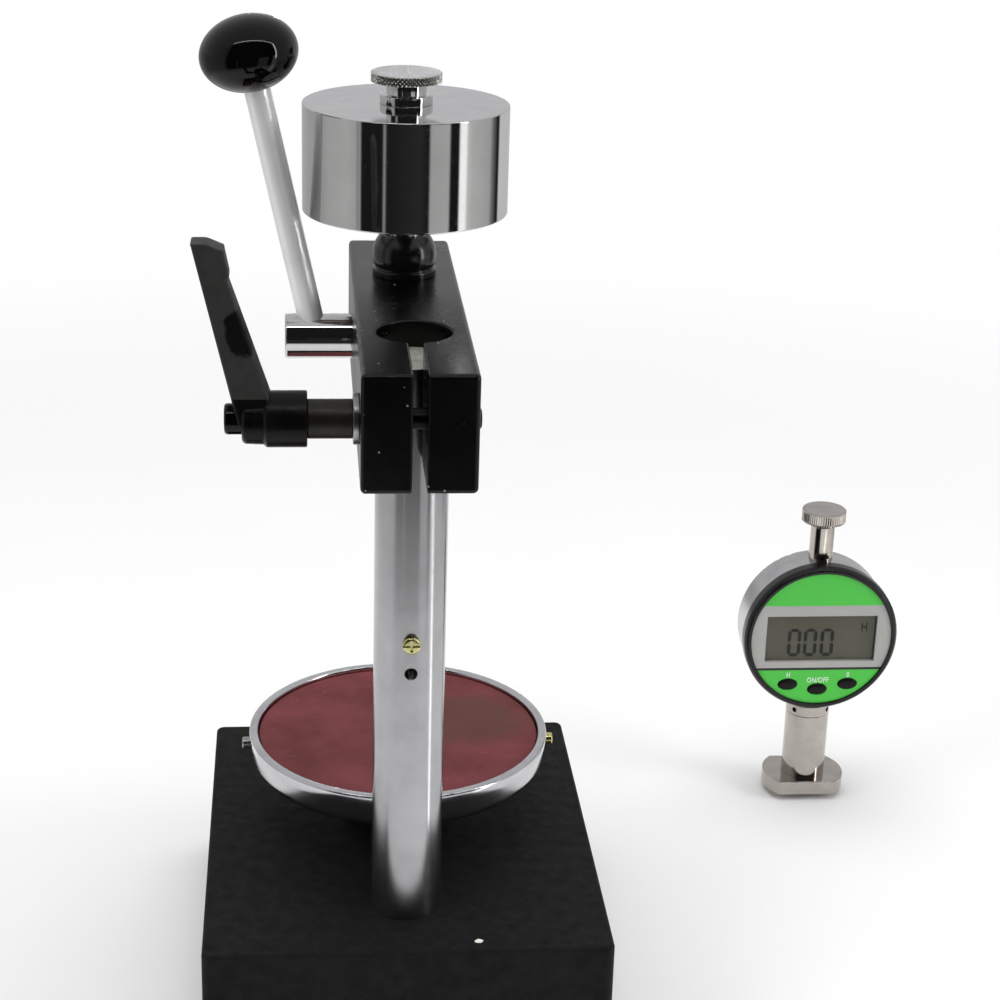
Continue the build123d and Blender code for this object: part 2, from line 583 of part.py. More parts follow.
# ---- spindle, weight and knob ----------------------------------------------------------------
def spindle():
    """Ground spindle: rack on its rear, tapped socket below, turned-down neck for the weight."""
    bar = rod(SPINDLE_R, WEIGHT_Z - SPINDLE_Z, (0, 0, SPINDLE_Z))
    bar = chamfer(bar.edges().filter_by(GeomType.CIRCLE), 0.6)
    bar += rod(NECK_R, WEIGHT_HEIGHT + TOP_COLLAR + TOP_NECK, (0, 0, WEIGHT_Z))
    bar -= rod(SOCKET_R, SOCKET_DEPTH, (0, 0, SPINDLE_Z))
    pitch = math.pi * MODULE
    tips = RACK_LINE - RACK_ADDENDUM
    roots = RACK_LINE + RACK_DEDENDUM
    low = math.ceil((TIP_CIRCLE + 1.0) / pitch)
    high = math.ceil((TIP_CIRCLE + STROKE + 1.0) / pitch)
    flat = (high + low) * pitch + pitch
    middle = ARM_MID + (high - low) * pitch / 2
    bar -= Pos(0, tips - SPINDLE_R / 2, middle) * Box(3 * SPINDLE_R, SPINDLE_R, flat)
    slope = math.tan(PRESSURE)
    half = pitch / 4 + BACKLASH / 4
    wide, narrow = half + RACK_ADDENDUM * slope, half - RACK_DEDENDUM * slope
    corners = [(tips - 1.0, wide + slope), (roots, narrow), (roots, -narrow), (tips - 1.0, -wide - slope)]
    for i in range(-low, high + 1):
        outline = Polyline(*[(-SPINDLE_R, y, ARM_MID + i * pitch + z) for y, z in corners], close=True)
        bar -= extrude(make_face(outline), 2 * SPINDLE_R, dir=(1, 0, 0))
    return bar


def buffer():
    """Domed rubber buffer round the spindle, on which the weight lands."""
    foot, top = BUFFER_FOOT, BUFFER_HEIGHT
    inner = SPINDLE_R + BUFFER_GAP
    profile = [(inner, 0), (BUFFER_FOOT_R, 0), (BUFFER_FOOT_R, foot - BUFFER_GROOVE)]
    profile += [(BUFFER_R - BUFFER_GROOVE, foot - BUFFER_GROOVE), (BUFFER_R - BUFFER_GROOVE, foot)]
    profile += [(BUFFER_R, foot), (BUFFER_R, top), (inner, top)]
    ring = turned(profile, (0, 0, ARM_TOP))
    rim = ring.faces().sort_by(Axis.Z)[-1].edges().sort_by(SortBy.RADIUS)[-1]
    return fillet(rim, min(BUFFER_DOME, BUFFER_R - inner - 0.3))


def weight():
    """Polished load weight, bored for the spindle's neck."""
    disc = tube(WEIGHT_R, NECK_R + SEAT_GAP, WEIGHT_HEIGHT, (0, 0, WEIGHT_Z))
    rims = disc.edges().filter_by(GeomType.CIRCLE).sort_by(SortBy.RADIUS)[-2:]
    return chamfer(rims, WEIGHT_EDGE)


def weight_knob():
    """Knurled knob with a grooved collar, screwed down on the weight."""
    collar, neck, top = TOP_COLLAR, TOP_COLLAR + TOP_NECK, TOP_COLLAR + TOP_NECK + TOP_KNOB_THICK
    inner = NECK_R + RUN_GAP
    profile = [(inner, 0), (TOP_COLLAR_R, 0), (TOP_COLLAR_R, collar / 2 - TOP_GROOVE / 2)]
    profile += [(TOP_COLLAR_R - TOP_GROOVE, collar / 2), (TOP_COLLAR_R, collar / 2 + TOP_GROOVE / 2)]
    profile += [(TOP_COLLAR_R, collar), (TOP_NECK_R, collar), (TOP_NECK_R, neck), (TOP_KNOB_R - 0.5, neck)]
    profile += [(TOP_KNOB_R, neck + 0.5), (TOP_KNOB_R, top - 0.5), (TOP_KNOB_R - 0.5, top)]
    profile += [(0, top), (0, neck + 0.4), (inner, neck + 0.4)]
    return turned(profile, (0, 0, WEIGHT_TOP))


# ---- digital durometer -----------------------------------------------------------------------
def at_gauge(z):
    """A place on the durometer's upright axis."""
    return (GAUGE_X, GAUGE_Y, z)


def indenter():
    """Hemispherical indenter on its rod, with a collar that the spring bears on."""
    tip = Pos(*at_gauge(TIP_R)) * Sphere(TIP_R)
    tip += rod(ROD_R, indenter_top() - TIP_R, at_gauge(TIP_R))
    tip += rod(BARREL_BORE - COLLAR_GAP, COLLAR_THICK, at_gauge(FOOT_TOP + BARREL_FLOOR))
    return tip


def spring_floor():
    """Top of the indenter's collar, where its spring starts."""
    return FOOT_TOP + BARREL_FLOOR + COLLAR_THICK


def indenter_top():
    """Upper end of the indenter's rod, inside the neck."""
    return NECK_Z + 1.0 - TIP_PROUD


def indenter_spring():
    """Coil spring between the indenter's collar and the ring above the barrel."""
    length = RING_Z - spring_floor()
    radius = ROD_R + 1.2
    pitch = (length - SPRING_WIRE - 0.1) / INDENTER_TURNS
    return Pos(*at_gauge(spring_floor() + 0.05)) * coil(radius, SPRING_WIRE, pitch, INDENTER_TURNS)


def presser_foot():
    """Round foot with two flats, counterbored so that the indenter's ball draws up into it."""
    foot = rod(FOOT_R, FOOT_THICK, at_gauge(FOOT_Z))
    foot &= slab(3 * FOOT_R, 2 * FOOT_FLAT, FOOT_THICK, at_gauge(FOOT_Z))
    foot = fillet(foot.edges().filter_by(Axis.Z), 1.0)
    foot = chamfer(foot.faces().sort_by(Axis.Z)[-1].edges(), 0.5)
    foot -= rod(TIP_R + ROD_GAP, TIP_R + TIP_PROUD + 0.3, at_gauge(FOOT_Z))
    return foot - rod(ROD_R + ROD_GAP, FOOT_THICK, at_gauge(FOOT_Z))


def barrel():
    """Bright barrel that houses the indenter's spring."""
    tube_part = tube(BARREL_R, BARREL_BORE, BARREL_LENGTH, at_gauge(FOOT_TOP))
    floor = tube(BARREL_BORE, ROD_R + ROD_GAP, BARREL_FLOOR, at_gauge(FOOT_TOP))
    return tube_part + floor


def ring():
    """Collar that joins barrel and neck with two set screws."""
    collar = tube(RING_R, GAUGE_NECK_R + SEAT_GAP, RING_HEIGHT, at_gauge(RING_Z))
    collar = chamfer(collar.edges().filter_by(GeomType.CIRCLE).sort_by(SortBy.RADIUS)[-2:], 0.3)
    for side in (-1, 1):
        collar -= ring_screw_place(side) * rod(RING_SCREW_R + SEAT_GAP, RING_R, (0, 0, 0))
    return collar


def ring_screw_place(side):
    """Place of one set screw: at the neck's surface, pointing outwards and to the front."""
    turn = -90 + side * RING_SCREW_ANGLE
    return Pos(*at_gauge(RING_Z + RING_HEIGHT / 2)) * Rot(0, 0, turn) * Rot(0, 90, 0) * Pos(0, 0, GAUGE_NECK_R)


def ring_screw(side):
    """Set screw of the collar."""
    screw = rod(RING_SCREW_R, RING_SCREW_LENGTH, (0, 0, 0)) - hexagon(0.5, 1.0, (0, 0, RING_SCREW_LENGTH), "-Z")
    return ring_screw_place(side) * screw


def case():
    """Round metal cup that is the durometer's body, with its neck below and stem above."""
    cup = rod(CASE_R, CASE_FRONT + CASE_BACK, at_case(CASE_BACK_Y), "-Y")
    cup = fillet(cup.faces().sort_by(Axis.Y)[-1].edges(), CASE_ROUND)
    neck = rod(GAUGE_NECK_R, CASE_R + GAUGE_NECK + RING_HEIGHT, at_gauge(RING_Z))
    stem = rod(STEM_R, STEM_TOP - CASE_Z, at_gauge(CASE_Z))
    stem += rod(THREAD_R, STEM_TOP - CASE_Z + THREAD_LENGTH, at_gauge(CASE_Z))
    cup += neck + stem
    cup -= rod(CASE_R - CASE_WALL, CASE_FRONT + CASE_BACK - 2 * CASE_WALL, at_case(CASE_FRONT_Y), "+Y")
    cup -= rod(ROD_R + ROD_GAP, indenter_top() + TIP_PROUD + 1.0 - RING_Z, at_gauge(RING_Z))
    pocket = COVER_THICK + CELL_THICK
    cup += rod(CELL_R + 1.5, pocket + 0.8, (GAUGE_X, CASE_BACK_Y, CELL_Z), "-Y")
    cup -= rod(CELL_R + SEAT_GAP, pocket, (GAUGE_X, CASE_BACK_Y, CELL_Z), "-Y")
    return cup - rod(COVER_R + RUN_GAP, COVER_THICK, (GAUGE_X, CASE_BACK_Y, CELL_Z), "-Y")


def at_case(y):
    """A place on the case's front-to-back axis."""
    return (GAUGE_X, y, CASE_Z)


def cell():
    """Coin cell in the case's back."""
    return rod(CELL_R, CELL_THICK, (GAUGE_X, CASE_BACK_Y - COVER_THICK, CELL_Z), "-Y")


def cell_cover():
    """Round battery cover with a coin slot."""
    lid = rod(COVER_R, COVER_THICK, (GAUGE_X, CASE_BACK_Y, CELL_Z), "-Y")
    return lid - Pos(GAUGE_X, CASE_BACK_Y, CELL_Z) * Box(1.3 * COVER_R, 1.4, COVER_SLOT)


def bezel():
    """Black ring that closes the case's front, with a lip round the face plate."""
    front = CASE_FRONT_Y - BEZEL_DEPTH
    profile = [(CASE_R - CASE_WALL - SEAT_GAP, 2.0), (CASE_R - CASE_WALL - SEAT_GAP, 0), (BEZEL_R, 0)]
    profile += [(BEZEL_R, -BEZEL_DEPTH + 1.5), (BEZEL_R - 1.2, -BEZEL_DEPTH), (BEZEL_FACE_R, -BEZEL_DEPTH)]
    profile += [(BEZEL_FACE_R, face_back() - CASE_FRONT_Y), (BEZEL_FACE_R - BEZEL_LIP, face_back() - CASE_FRONT_Y)]
    profile += [(BEZEL_FACE_R - BEZEL_LIP, 2.0)]
    return turned(profile, at_case(front + BEZEL_DEPTH), "+Y")


def face_back():
    """Rear of the face plate, which lies against the bezel's lip."""
    return CASE_FRONT_Y - BEZEL_DEPTH + FACE_SINK + FACE_THICK


def plate_front():
    """Front of the face plate."""
    return face_back() - FACE_THICK


def face_plate():
    """Printed face plate with the display's window and three button holes."""
    plate = rod(BEZEL_FACE_R - SEAT_GAP, FACE_THICK, at_case(plate_front()), "+Y")
    plate -= Pos(*at_case(plate_front())) * Box(LCD_WIDTH, 4 * FACE_THICK, LCD_HEIGHT)
    for spot in BUTTON_SPOTS:
        plate -= button_prism(spot, BUTTON_GAP, 4 * FACE_THICK, plate_front() - FACE_THICK)
    return plate


def button_prism(spot, grow, length, start):
    """An oval bar through the face at a button's place, running back from a given depth."""
    x, z = BUTTON_SPOTS[spot]
    oval = Ellipse(BUTTON_LONG + grow, BUTTON_HIGH + grow)
    return Pos(GAUGE_X + x, start, CASE_Z + z) * Rot(*TURNS["+Y"]) * extrude(oval, length)


def window():
    """Clear window over the display, flush in the face plate."""
    pane = Box(LCD_WIDTH - 2 * SEAT_GAP, WINDOW_THICK, LCD_HEIGHT - 2 * SEAT_GAP)
    return Pos(*at_case(face_back() - WINDOW_THICK / 2)) * pane


def display():
    """Liquid-crystal display behind the window, between the face plate and the board."""
    panel = Box(LCD_WIDTH - 1.0, LCD_THICK, LCD_HEIGHT + 2.0)
    return Pos(*at_case(face_back() + LCD_THICK / 2)) * panel


def board_front():
    """Front of the circuit board, which touches the display and the buttons' pads."""
    return face_back() + LCD_THICK + BUTTON_TRAVEL + 0.6


def board():
    """Round circuit board with the display's carrier frame."""
    disc = rod(BOARD_R, BOARD_THICK, at_case(board_front()), "+Y")
    frame = Box(LCD_WIDTH - 1.0, BUTTON_TRAVEL + 0.6, LCD_HEIGHT)
    disc += Pos(*at_case(board_front() - (BUTTON_TRAVEL + 0.6) / 2)) * frame
    for turn in (0, 90, 180, 270):
        foot = Pos(0, 0, BOARD_R - 3.0) * rod(1.6, board_gap(), (0, 0, 0), "+Y")
        disc += Pos(*at_case(board_front() + BOARD_THICK)) * Rot(0, turn + 45, 0) * foot
    return disc


def board_gap():
    """Space between the board and the cup's floor."""
    return CASE_FRONT_Y + CASE_FRONT + CASE_BACK - 2 * CASE_WALL - board_front() - BOARD_THICK


def button(spot):
    """Oval push button with a flange behind the face plate."""
    front = plate_front() - BUTTON_PROUD
    cap = button_prism(spot, 0, face_back() - front, front)
    cap = fillet(cap.faces().sort_by(Axis.Y)[0].edges(), 0.5)
    flange = button_prism(spot, 0.7, 0.8, face_back())
    pad = board_front() - BUTTON_TRAVEL - face_back() - 0.8
    x, z = BUTTON_SPOTS[spot]
    return cap + flange + rod(1.2, pad, (GAUGE_X + x, face_back() + 0.8, CASE_Z + z), "+Y")


def thumb_knob():
    """Fluted thumb nut with a coned underside, on the thread above the stem."""
    inner, top, bore = THREAD_R + RUN_GAP, THUMB_CONE + THUMB_RIM, THREAD_LENGTH + SEAT_GAP
    profile = [(inner, 0), (STEM_R, 0), (THUMB_R, THUMB_CONE), (THUMB_R, top - 0.6)]
    profile += [(THUMB_R - 0.6, top), (0, top), (0, bore), (inner, bore)]
    return turned(profile, at_gauge(STEM_TOP))


NODES = {
    "base": base, "sole": sole, "column": column, "stop_screw": stop_screw,
    "column_screw": lambda: cap_screw(0, COLUMN_Y), "column_washer": lambda: bolt_washer(0, COLUMN_Y),
    "pedestal": pedestal, "pedestal_screw": pedestal_screw, "pedestal_washer": lambda: bolt_washer(0, 0),
    "seat_liner": liner, "anvil_dish": anvil, "anvil_insert": insert,
    "rim_screw_left": lambda: rim_screw(-1), "rim_screw_right": lambda: rim_screw(1),
    "arm": arm, "upper_bush": lambda: bush(ARM_TOP - BUSH_LENGTH), "lower_bush": lambda: bush(ARM_Z),
    "pinion_shaft": pinion, "lever_rod": lever, "lever_knob": lever_knob, "pinion_keeper": keeper,
    "brake_plug": brake_plug, "brake_screw": brake_screw,
    "clamp_washer": clamp_washer, "clamp_sleeve": clamp_sleeve, "clamp_stud": clamp_stud,
    "clamp_handle": clamp_handle, "clamp_cap": clamp_cap, "clamp_spring": clamp_spring,
    "spindle": spindle, "buffer": buffer, "weight": weight, "weight_knob": weight_knob,
    "indenter": indenter, "indenter_spring": indenter_spring, "presser_foot": presser_foot,
    "barrel": barrel, "barrel_ring": ring,
    "ring_screw_left": lambda: ring_screw(-1), "ring_screw_right": lambda: ring_screw(1),
    "gauge_case": case, "coin_cell": cell, "cell_cover": cell_cover, "gauge_bezel": bezel,
    "face_plate": face_plate, "display_window": window, "display": display, "circuit_board": board,
    "button_hold": lambda: button("hold"), "button_power": lambda: button("power"),
    "button_zero": lambda: button("zero"), "thumb_knob": thumb_knob,
}

os.makedirs("parts", exist_ok=True)
for name, make in NODES.items():
    solid = make()
    solid.label = name
    export_step(solid, f"parts/{name}.step")
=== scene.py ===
"""Looks of a durometer test stand and of the digital durometer that stands beside it.

Sizes and places are in millimetres, but the studio and the meshes are in metres.  +Z is up.
"""

import json
import logging
import math
from dataclasses import dataclass, field
from enum import Enum
from functools import partial
from typing import Callable, Optional, Sequence, Union

import bmesh
import bpy
import numpy as np
from mathutils import Matrix, Vector


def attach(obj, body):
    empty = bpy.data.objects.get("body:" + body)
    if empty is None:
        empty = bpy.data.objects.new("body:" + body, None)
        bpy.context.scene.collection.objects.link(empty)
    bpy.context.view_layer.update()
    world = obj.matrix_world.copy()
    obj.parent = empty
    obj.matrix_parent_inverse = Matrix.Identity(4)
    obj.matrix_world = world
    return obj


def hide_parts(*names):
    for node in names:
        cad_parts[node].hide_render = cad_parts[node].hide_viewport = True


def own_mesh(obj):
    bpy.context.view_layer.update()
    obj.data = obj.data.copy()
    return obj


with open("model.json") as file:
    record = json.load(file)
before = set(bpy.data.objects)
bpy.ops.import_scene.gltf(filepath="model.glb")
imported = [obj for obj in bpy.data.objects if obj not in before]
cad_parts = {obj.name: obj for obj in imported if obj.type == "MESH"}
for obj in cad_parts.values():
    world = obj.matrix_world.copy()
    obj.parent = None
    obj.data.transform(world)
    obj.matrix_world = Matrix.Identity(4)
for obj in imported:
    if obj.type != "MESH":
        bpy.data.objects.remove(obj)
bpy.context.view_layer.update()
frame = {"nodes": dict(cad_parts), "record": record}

LOG = logging.getLogger("stand")
MM = 0.001
CIRCLE = 2 * math.pi
SHARP, FOLD = math.radians(34), math.radians(30)  # least angle of an edge shaded sharp, and of one rounded
WELD, SLIVER, LEVEL = 2e-7, 1e-7, 0.98  # how near doubles lie, the shortest edge, how upright a normal is
COLUMN_Y, PINION_Y, CLAMP_Y = -63.0, -10.3, -89.5  # the column and the arm's two cross shafts
SHAFT_Z, TOOTH = 223.0, 1.95  # level of both cross shafts, and the depth of the pinion's and the rack's teeth
GAUGE_X, GAUGE_Y, DIAL_Z = 167.5, 100.0, 71.04  # the durometer's upright axis and its dial's middle
BODY_OF = {node: body for body, nodes in frame["record"]["behaviour"]["bodies"].items() for node in nodes}

Piece, Node = bpy.types.Object, bpy.types.Node
Put = Callable[..., Node]
Spot = tuple[float, float, float]
Corners = Sequence[Sequence[float]]
Relief = Callable[[np.ndarray, np.ndarray, np.ndarray], np.ndarray]


class Way(Enum):
    """Direction that a turned piece's own axis takes, after the two directions across it."""

    UP = ((1, 0, 0), (0, 1, 0), (0, 0, 1))
    BACK = ((1, 0, 0), (0, 0, -1), (0, 1, 0))
    FRONT = ((1, 0, 0), (0, 0, 1), (0, -1, 0))
    LEFT = ((0, 1, 0), (0, 0, -1), (-1, 0, 0))
    RIGHT = ((0, 1, 0), (0, 0, 1), (1, 0, 0))


class Grain(Enum):
    """Direction of the finest marks in a finish."""

    EVEN = "even"
    RINGS = "rings"
    ROUND_Z = "round_z"
    ROUND_X = "round_x"
    ROUND_Y = "round_y"


class Cut(Enum):
    """What becomes of a second shape where it meets a piece."""

    AWAY = "DIFFERENCE"
    JOIN = "UNION"


class Edges(Enum):
    """Which edges of a piece are rounded."""

    SHARP = "ANGLE"
    MARKED = "WEIGHT"


# ---- meshes ----------------------------------------------------------------------------------
def tidy(mesh: bpy.types.Mesh) -> None:
    """Welds doubles, turns faces outwards and shades the mesh smooth between its sharp edges.

    Args:
        mesh: a closed mesh.
    """
    work = bmesh.new()
    work.from_mesh(mesh)
    bmesh.ops.remove_doubles(work, verts=work.verts, dist=WELD)
    bmesh.ops.dissolve_degenerate(work, edges=work.edges, dist=SLIVER)
    bmesh.ops.recalc_face_normals(work, faces=work.faces)
    work.to_mesh(mesh)
    work.free()
    mesh.shade_smooth()
    mesh.set_sharp_from_angle(angle=SHARP)


def placed(name: str, mesh: bpy.types.Mesh) -> Piece:
    """Tidies a mesh and links an object that holds it.

    Args:
        name: the piece's name.
        mesh: its mesh.

    Returns:
        The piece.
    """
    tidy(mesh)
    piece = bpy.data.objects.new(name, mesh)
    bpy.context.scene.collection.objects.link(piece)
    return piece


def solid(name: str, points: np.ndarray, faces: Sequence[Sequence[int]]) -> Piece:
    """Makes a piece from points and faces.

    Args:
        name: the piece's name.
        points: places in metres.
        faces: vertex numbers of each face.

    Returns:
        The piece.
    """
    mesh = bpy.data.meshes.new(name)
    mesh.from_pydata(points.reshape(-1, 3).tolist(), [], faces)
    return placed(name, mesh)


def skin(name: str, points: np.ndarray, ring: bool = False, caps: bool = False) -> Piece:
    """Covers a grid of points whose columns run round the shape.

    Args:
        name: the piece's name.
        points: places in metres, rows by columns by three; the last column joins the first.
        ring: whether the last row joins the first.
        caps: whether the first and last rows are closed with one face each.

    Returns:
        The piece.
    """
    number = np.arange(points[..., 0].size).reshape(points.shape[:2])
    low = number if ring else number[:-1]
    high = np.roll(number, -1, axis=0) if ring else number[1:]
    quads = np.stack([low, np.roll(low, -1, 1), np.roll(high, -1, 1), high], axis=-1)
    faces = quads.reshape(-1, 4).tolist()
    if caps:
        faces += [number[0].tolist(), number[-1][::-1].tolist()]
    return solid(name, points, faces)


def around(steps: int) -> np.ndarray:
    """Angles once round, evenly spaced."""
    return np.linspace(0, CIRCLE, steps, endpoint=False)


def rounded(corners: Corners, ring: bool = False, steps: int = 6) -> np.ndarray:
    """Rounds a profile's corners with a parabola that touches both sides.

    Each point is (1-t)^2 A + 2t(1-t) P + t^2 B, where P is the corner and A and B lie on its sides.

    Args:
        corners: (across, along, rounding) of each corner.
        ring: whether the profile closes on itself.
        steps: points along each rounding.

    Returns:
        (across, along) in metres, one row for each point.
    """
    table = np.array(corners, float)
    spots, radii = table[:, :2], table[:, 2]
    before, after = np.roll(spots, 1, 0) - spots, np.roll(spots, -1, 0) - spots
    span_in, span_out = np.linalg.norm(before, axis=1), np.linalg.norm(after, axis=1)
    reach = np.minimum(radii, 0.48 * np.minimum(span_in, span_out))
    start = spots + before / np.maximum(span_in, 1e-9)[:, None] * reach[:, None]
    end = spots + after / np.maximum(span_out, 1e-9)[:, None] * reach[:, None]
    t = np.linspace(0, 1, steps)[None, :, None]
    arcs = (1 - t) ** 2 * start[:, None] + 2 * t * (1 - t) * spots[:, None] + t ** 2 * end[:, None]
    keep = np.repeat(reach[:, None] > 0, steps, 1)
    keep[:, 0] = True
    if not ring:
        arcs[0], arcs[-1] = spots[0], spots[-1]
        keep[0, 1:], keep[-1, 1:] = False, False
    return arcs[keep] * MM


def rod(radius: float, low: float, high: float, foot: float = 0, edge: float = 0) -> list[Spot]:
    """Corners of a rod's profile; foot and edge are the roundings at its two ends."""
    return [(0, low, 0), (radius, low, foot), (radius, high, edge), (0, high, 0)]


def stepped(first: float, low: float, step: float, second: float, high: float, foot: float = 0,
            shoulder: float = 0, under: float = 0, edge: float = 0) -> list[Spot]:
    """Corners of a rod or bore that changes radius at a step; the rest are its roundings, in order."""
    return [(0, low, 0), (first, low, foot), (first, step, shoulder), (second, step, under),
            (second, high, edge), (0, high, 0)]


def wall(radius: float, low: float, high: float, rows: int) -> np.ndarray:
    """Evenly spaced rows up a plain wall, in metres."""
    return np.column_stack([np.full(rows, radius), np.linspace(low, high, rows)]) * MM


def rim_band(z: np.ndarray, radius: np.ndarray, low: float, high: float, fade: float,
             inner: float) -> np.ndarray:
    """One on a rim between two levels, zero past their faded ends and inside the inner radius."""
    return np.clip((z - low) / fade, 0, 1) * np.clip((high - z) / fade, 0, 1) * (radius > inner * MM)


def tube(inner: float, outer: float, tall: float, lip: float, foot: float, edge: float) -> list[Spot]:
    """Corners of a tube's profile; lip is the rounding inside, foot and edge those outside."""
    return [(inner, 0, lip), (outer, 0, foot), (outer, tall, edge), (inner, tall, lip)]


def turned(name: str, profile: Union[list, np.ndarray], at: Sequence[float], way: Way = Way.UP,
           steps: int = 96, ring: bool = False, fine: int = 6, relief: Optional[Relief] = None,
           lean: float = 0.0) -> Piece:
    """Turns a profile about an axis: place = at + r cos(u) a + r sin(u) b + h c.

    Args:
        name: the piece's name.
        profile: a list of corners to round, or an array of (radius, height) rows in metres.
        at: the axis's start.
        way: the axis's direction.
        steps: points round the axis.
        ring: whether the profile closes on itself, as a tube's does.
        fine: points along each rounding.
        relief: radius to add, in metres, from the angle, the height and the radius.
        lean: degrees by which an upright axis leans towards -X.

    Returns:
        The piece.
    """
    if isinstance(profile, list):
        profile = rounded(profile, ring, fine)
    across, side, along = (np.array(v, float) for v in way.value)
    cos, sin = math.cos(math.radians(lean)), math.sin(math.radians(lean))
    across, along = cos * across + sin * along, cos * along - sin * across
    angle = around(steps)[None, :] + 0 * profile[:, :1]
    radius, height = profile[:, :1] + 0 * angle, profile[:, 1:] + 0 * angle
    if relief:
        radius = radius + relief(angle, height, radius)
    points = np.array(at, float) * MM + (radius * np.cos(angle))[..., None] * across
    points = points + (radius * np.sin(angle))[..., None] * side + height[..., None] * along
    return skin(name, points, ring=ring)


def round_cornered(half_x: Union[float, np.ndarray], half_y: Union[float, np.ndarray],
                   corner: Union[float, np.ndarray], steps: int) -> list[np.ndarray]:
    """Rectangle with round corners: the side less the corner's radius, plus radius times cosine or sine.

    Args:
        half_x: half its width, or one for each row.
        half_y: half its depth.
        corner: radius of its corners.
        steps: points round it.

    Returns:
        The x and the y of its points.
    """
    turn = around(steps) + math.pi / steps
    pairs = ((half_x, np.cos(turn)), (half_y, np.sin(turn)))
    return [np.sign(wave) * (half - corner) + corner * wave for half, wave in pairs]


def rounded_block(name: str, low: Spot, high: Spot, corner: float, edge: float, foot: float = 0.4) -> Piece:
    """A block with round upright corners and rounded top and bottom edges.

    Row k is a round-cornered rectangle drawn in by an inset that follows a quarter circle.

    Args:
        name: the piece's name.
        low: lowest corner.
        high: highest corner.
        corner: radius of the upright corners.
        edge: radius of the top edge.
        foot: radius of the bottom edge.

    Returns:
        The piece.
    """
    steps, least = 10, 0.01
    quarter = np.linspace(0, math.pi / 2, steps)
    inset = np.concatenate([foot * (1 - np.sin(quarter)), edge * (1 - np.cos(quarter))])[:, None]
    height = np.concatenate([low[2] + foot * (1 - np.cos(quarter)), high[2] - edge * (1 - np.sin(quarter))])
    x, y = round_cornered((high[0] - low[0]) / 2 - inset, (high[1] - low[1]) / 2 - inset,
                          np.maximum(corner - inset, least), 4 * steps)
    x, y = (low[0] + high[0]) / 2 + x, (low[1] + high[1]) / 2 + y
    return skin(name, np.stack([x, y, height[:, None] + 0 * x], axis=-1) * MM, caps=True)


def outline_prism(name: str, outline: np.ndarray, low: float, high: float) -> Piece:
    """Raises a plan outline between two levels.

    Args:
        name: the piece's name.
        outline: (x, y) rows in order round the shape.
        low: lower level.
        high: upper level.

    Returns:
        The piece.
    """
    rows = [np.column_stack([outline, np.full(len(outline), z)]) for z in (low, high)]
    return skin(name, np.stack(rows) * MM, caps=True)


def carve(piece: Piece, others: Sequence[Piece], how: Cut = Cut.AWAY) -> None:
    """Cuts other shapes from a piece, or joins them to it, and removes them.

    Args:
        piece: the piece that stays.
        others: the shapes to use up.
        how: what becomes of them.
    """
    for other in others:
        step = piece.modifiers.new("carve", "BOOLEAN")
        step.object, step.operation, step.solver = other, how.value, "EXACT"
    bake(piece)
    for other in others:
        bpy.data.objects.remove(other)


def bake(piece: Piece, clean: bool = True) -> None:
    """Applies a piece's modifiers.

    Args:
        piece: the piece.
        clean: whether the result is tidied.
    """
    graph = bpy.context.evaluated_depsgraph_get()
    graph.update()
    mesh = bpy.data.meshes.new_from_object(piece.evaluated_get(graph))
    piece.modifiers.clear()
    piece.data = mesh
    if clean:
        tidy(mesh)


def soften(piece: Piece, width: float, segments: int, edges: Edges) -> None:
    """Rounds a piece's edges.

    Args:
        piece: the piece.
        width: the rounding.
        segments: faces across each rounding.
        edges: which edges count.
    """
    step = piece.modifiers.new("edge", "BEVEL")
    step.width, step.segments = width * MM, segments
    step.limit_method, step.angle_limit = edges.value, FOLD
    bake(piece)


def face_vectors(piece: Piece, what: str) -> np.ndarray:
    """Reads the centre or the normal of every face.

    Args:
        piece: the piece.
        what: "center" or "normal".

    Returns:
        One row for each face.
    """
    rows = np.empty(len(piece.data.polygons) * 3)
    piece.data.polygons.foreach_get(what, rows)
    return rows.reshape(-1, 3)


def share_out(piece: Piece, index: np.ndarray) -> None:
    """Gives each face the piece's material of that number."""
    piece.data.polygons.foreach_set("material_index", index.astype(np.int32))


def flat_ends(piece: Piece) -> None:
    """Gives an upright piece's level faces its second material."""
    share_out(piece, np.abs(face_vectors(piece, "normal")[:, 2]) > LEVEL)


def add_to(piece: Piece, node: str, *coats: str) -> Piece:
    """Adds a piece to the body that carries a CAD node.

    Its corner normals are weighted by face size, so that large flat faces shade flat beside roundings.

    Args:
        piece: the new piece.
        node: a CAD node on the same body.
        coats: keys of its finishes.

    Returns:
        The piece.
    """
    piece.modifiers.new("even", "WEIGHTED_NORMAL").keep_sharp = True
    bake(piece, clean=False)
    piece.data.materials.clear()
    for key in coats:
        piece.data.materials.append(coat(key))
    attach(piece, BODY_OF[node])
    return piece


def dress(piece: Piece, node: str, *coats: str) -> Piece:
    """Puts a piece in the place of a CAD node, on the same body, and hides the node.

    Args:
        piece: the new piece.
        node: the CAD node that it stands for.
        coats: keys of its finishes.

    Returns:
        The piece.
    """
    add_to(piece, node, *coats)
    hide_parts(node)
    return piece


# ---- finishes --------------------------------------------------------------------------------
def linear(hex_colour: str) -> tuple[float, float, float, float]:
    """Turns an sRGB hex colour into linear values.

    Args:
        hex_colour: a colour such as "#a0b0c0".

    Returns:
        Red, green, blue and an alpha of one.
    """
    value = np.array([int(hex_colour[i:i + 2], 16) for i in (1, 3, 5)]) / 255
    low, high = value / 12.92, ((value + 0.055) / 1.055) ** 2.4
    return (*np.where(value <= 0.04045, low, high).tolist(), 1.0)


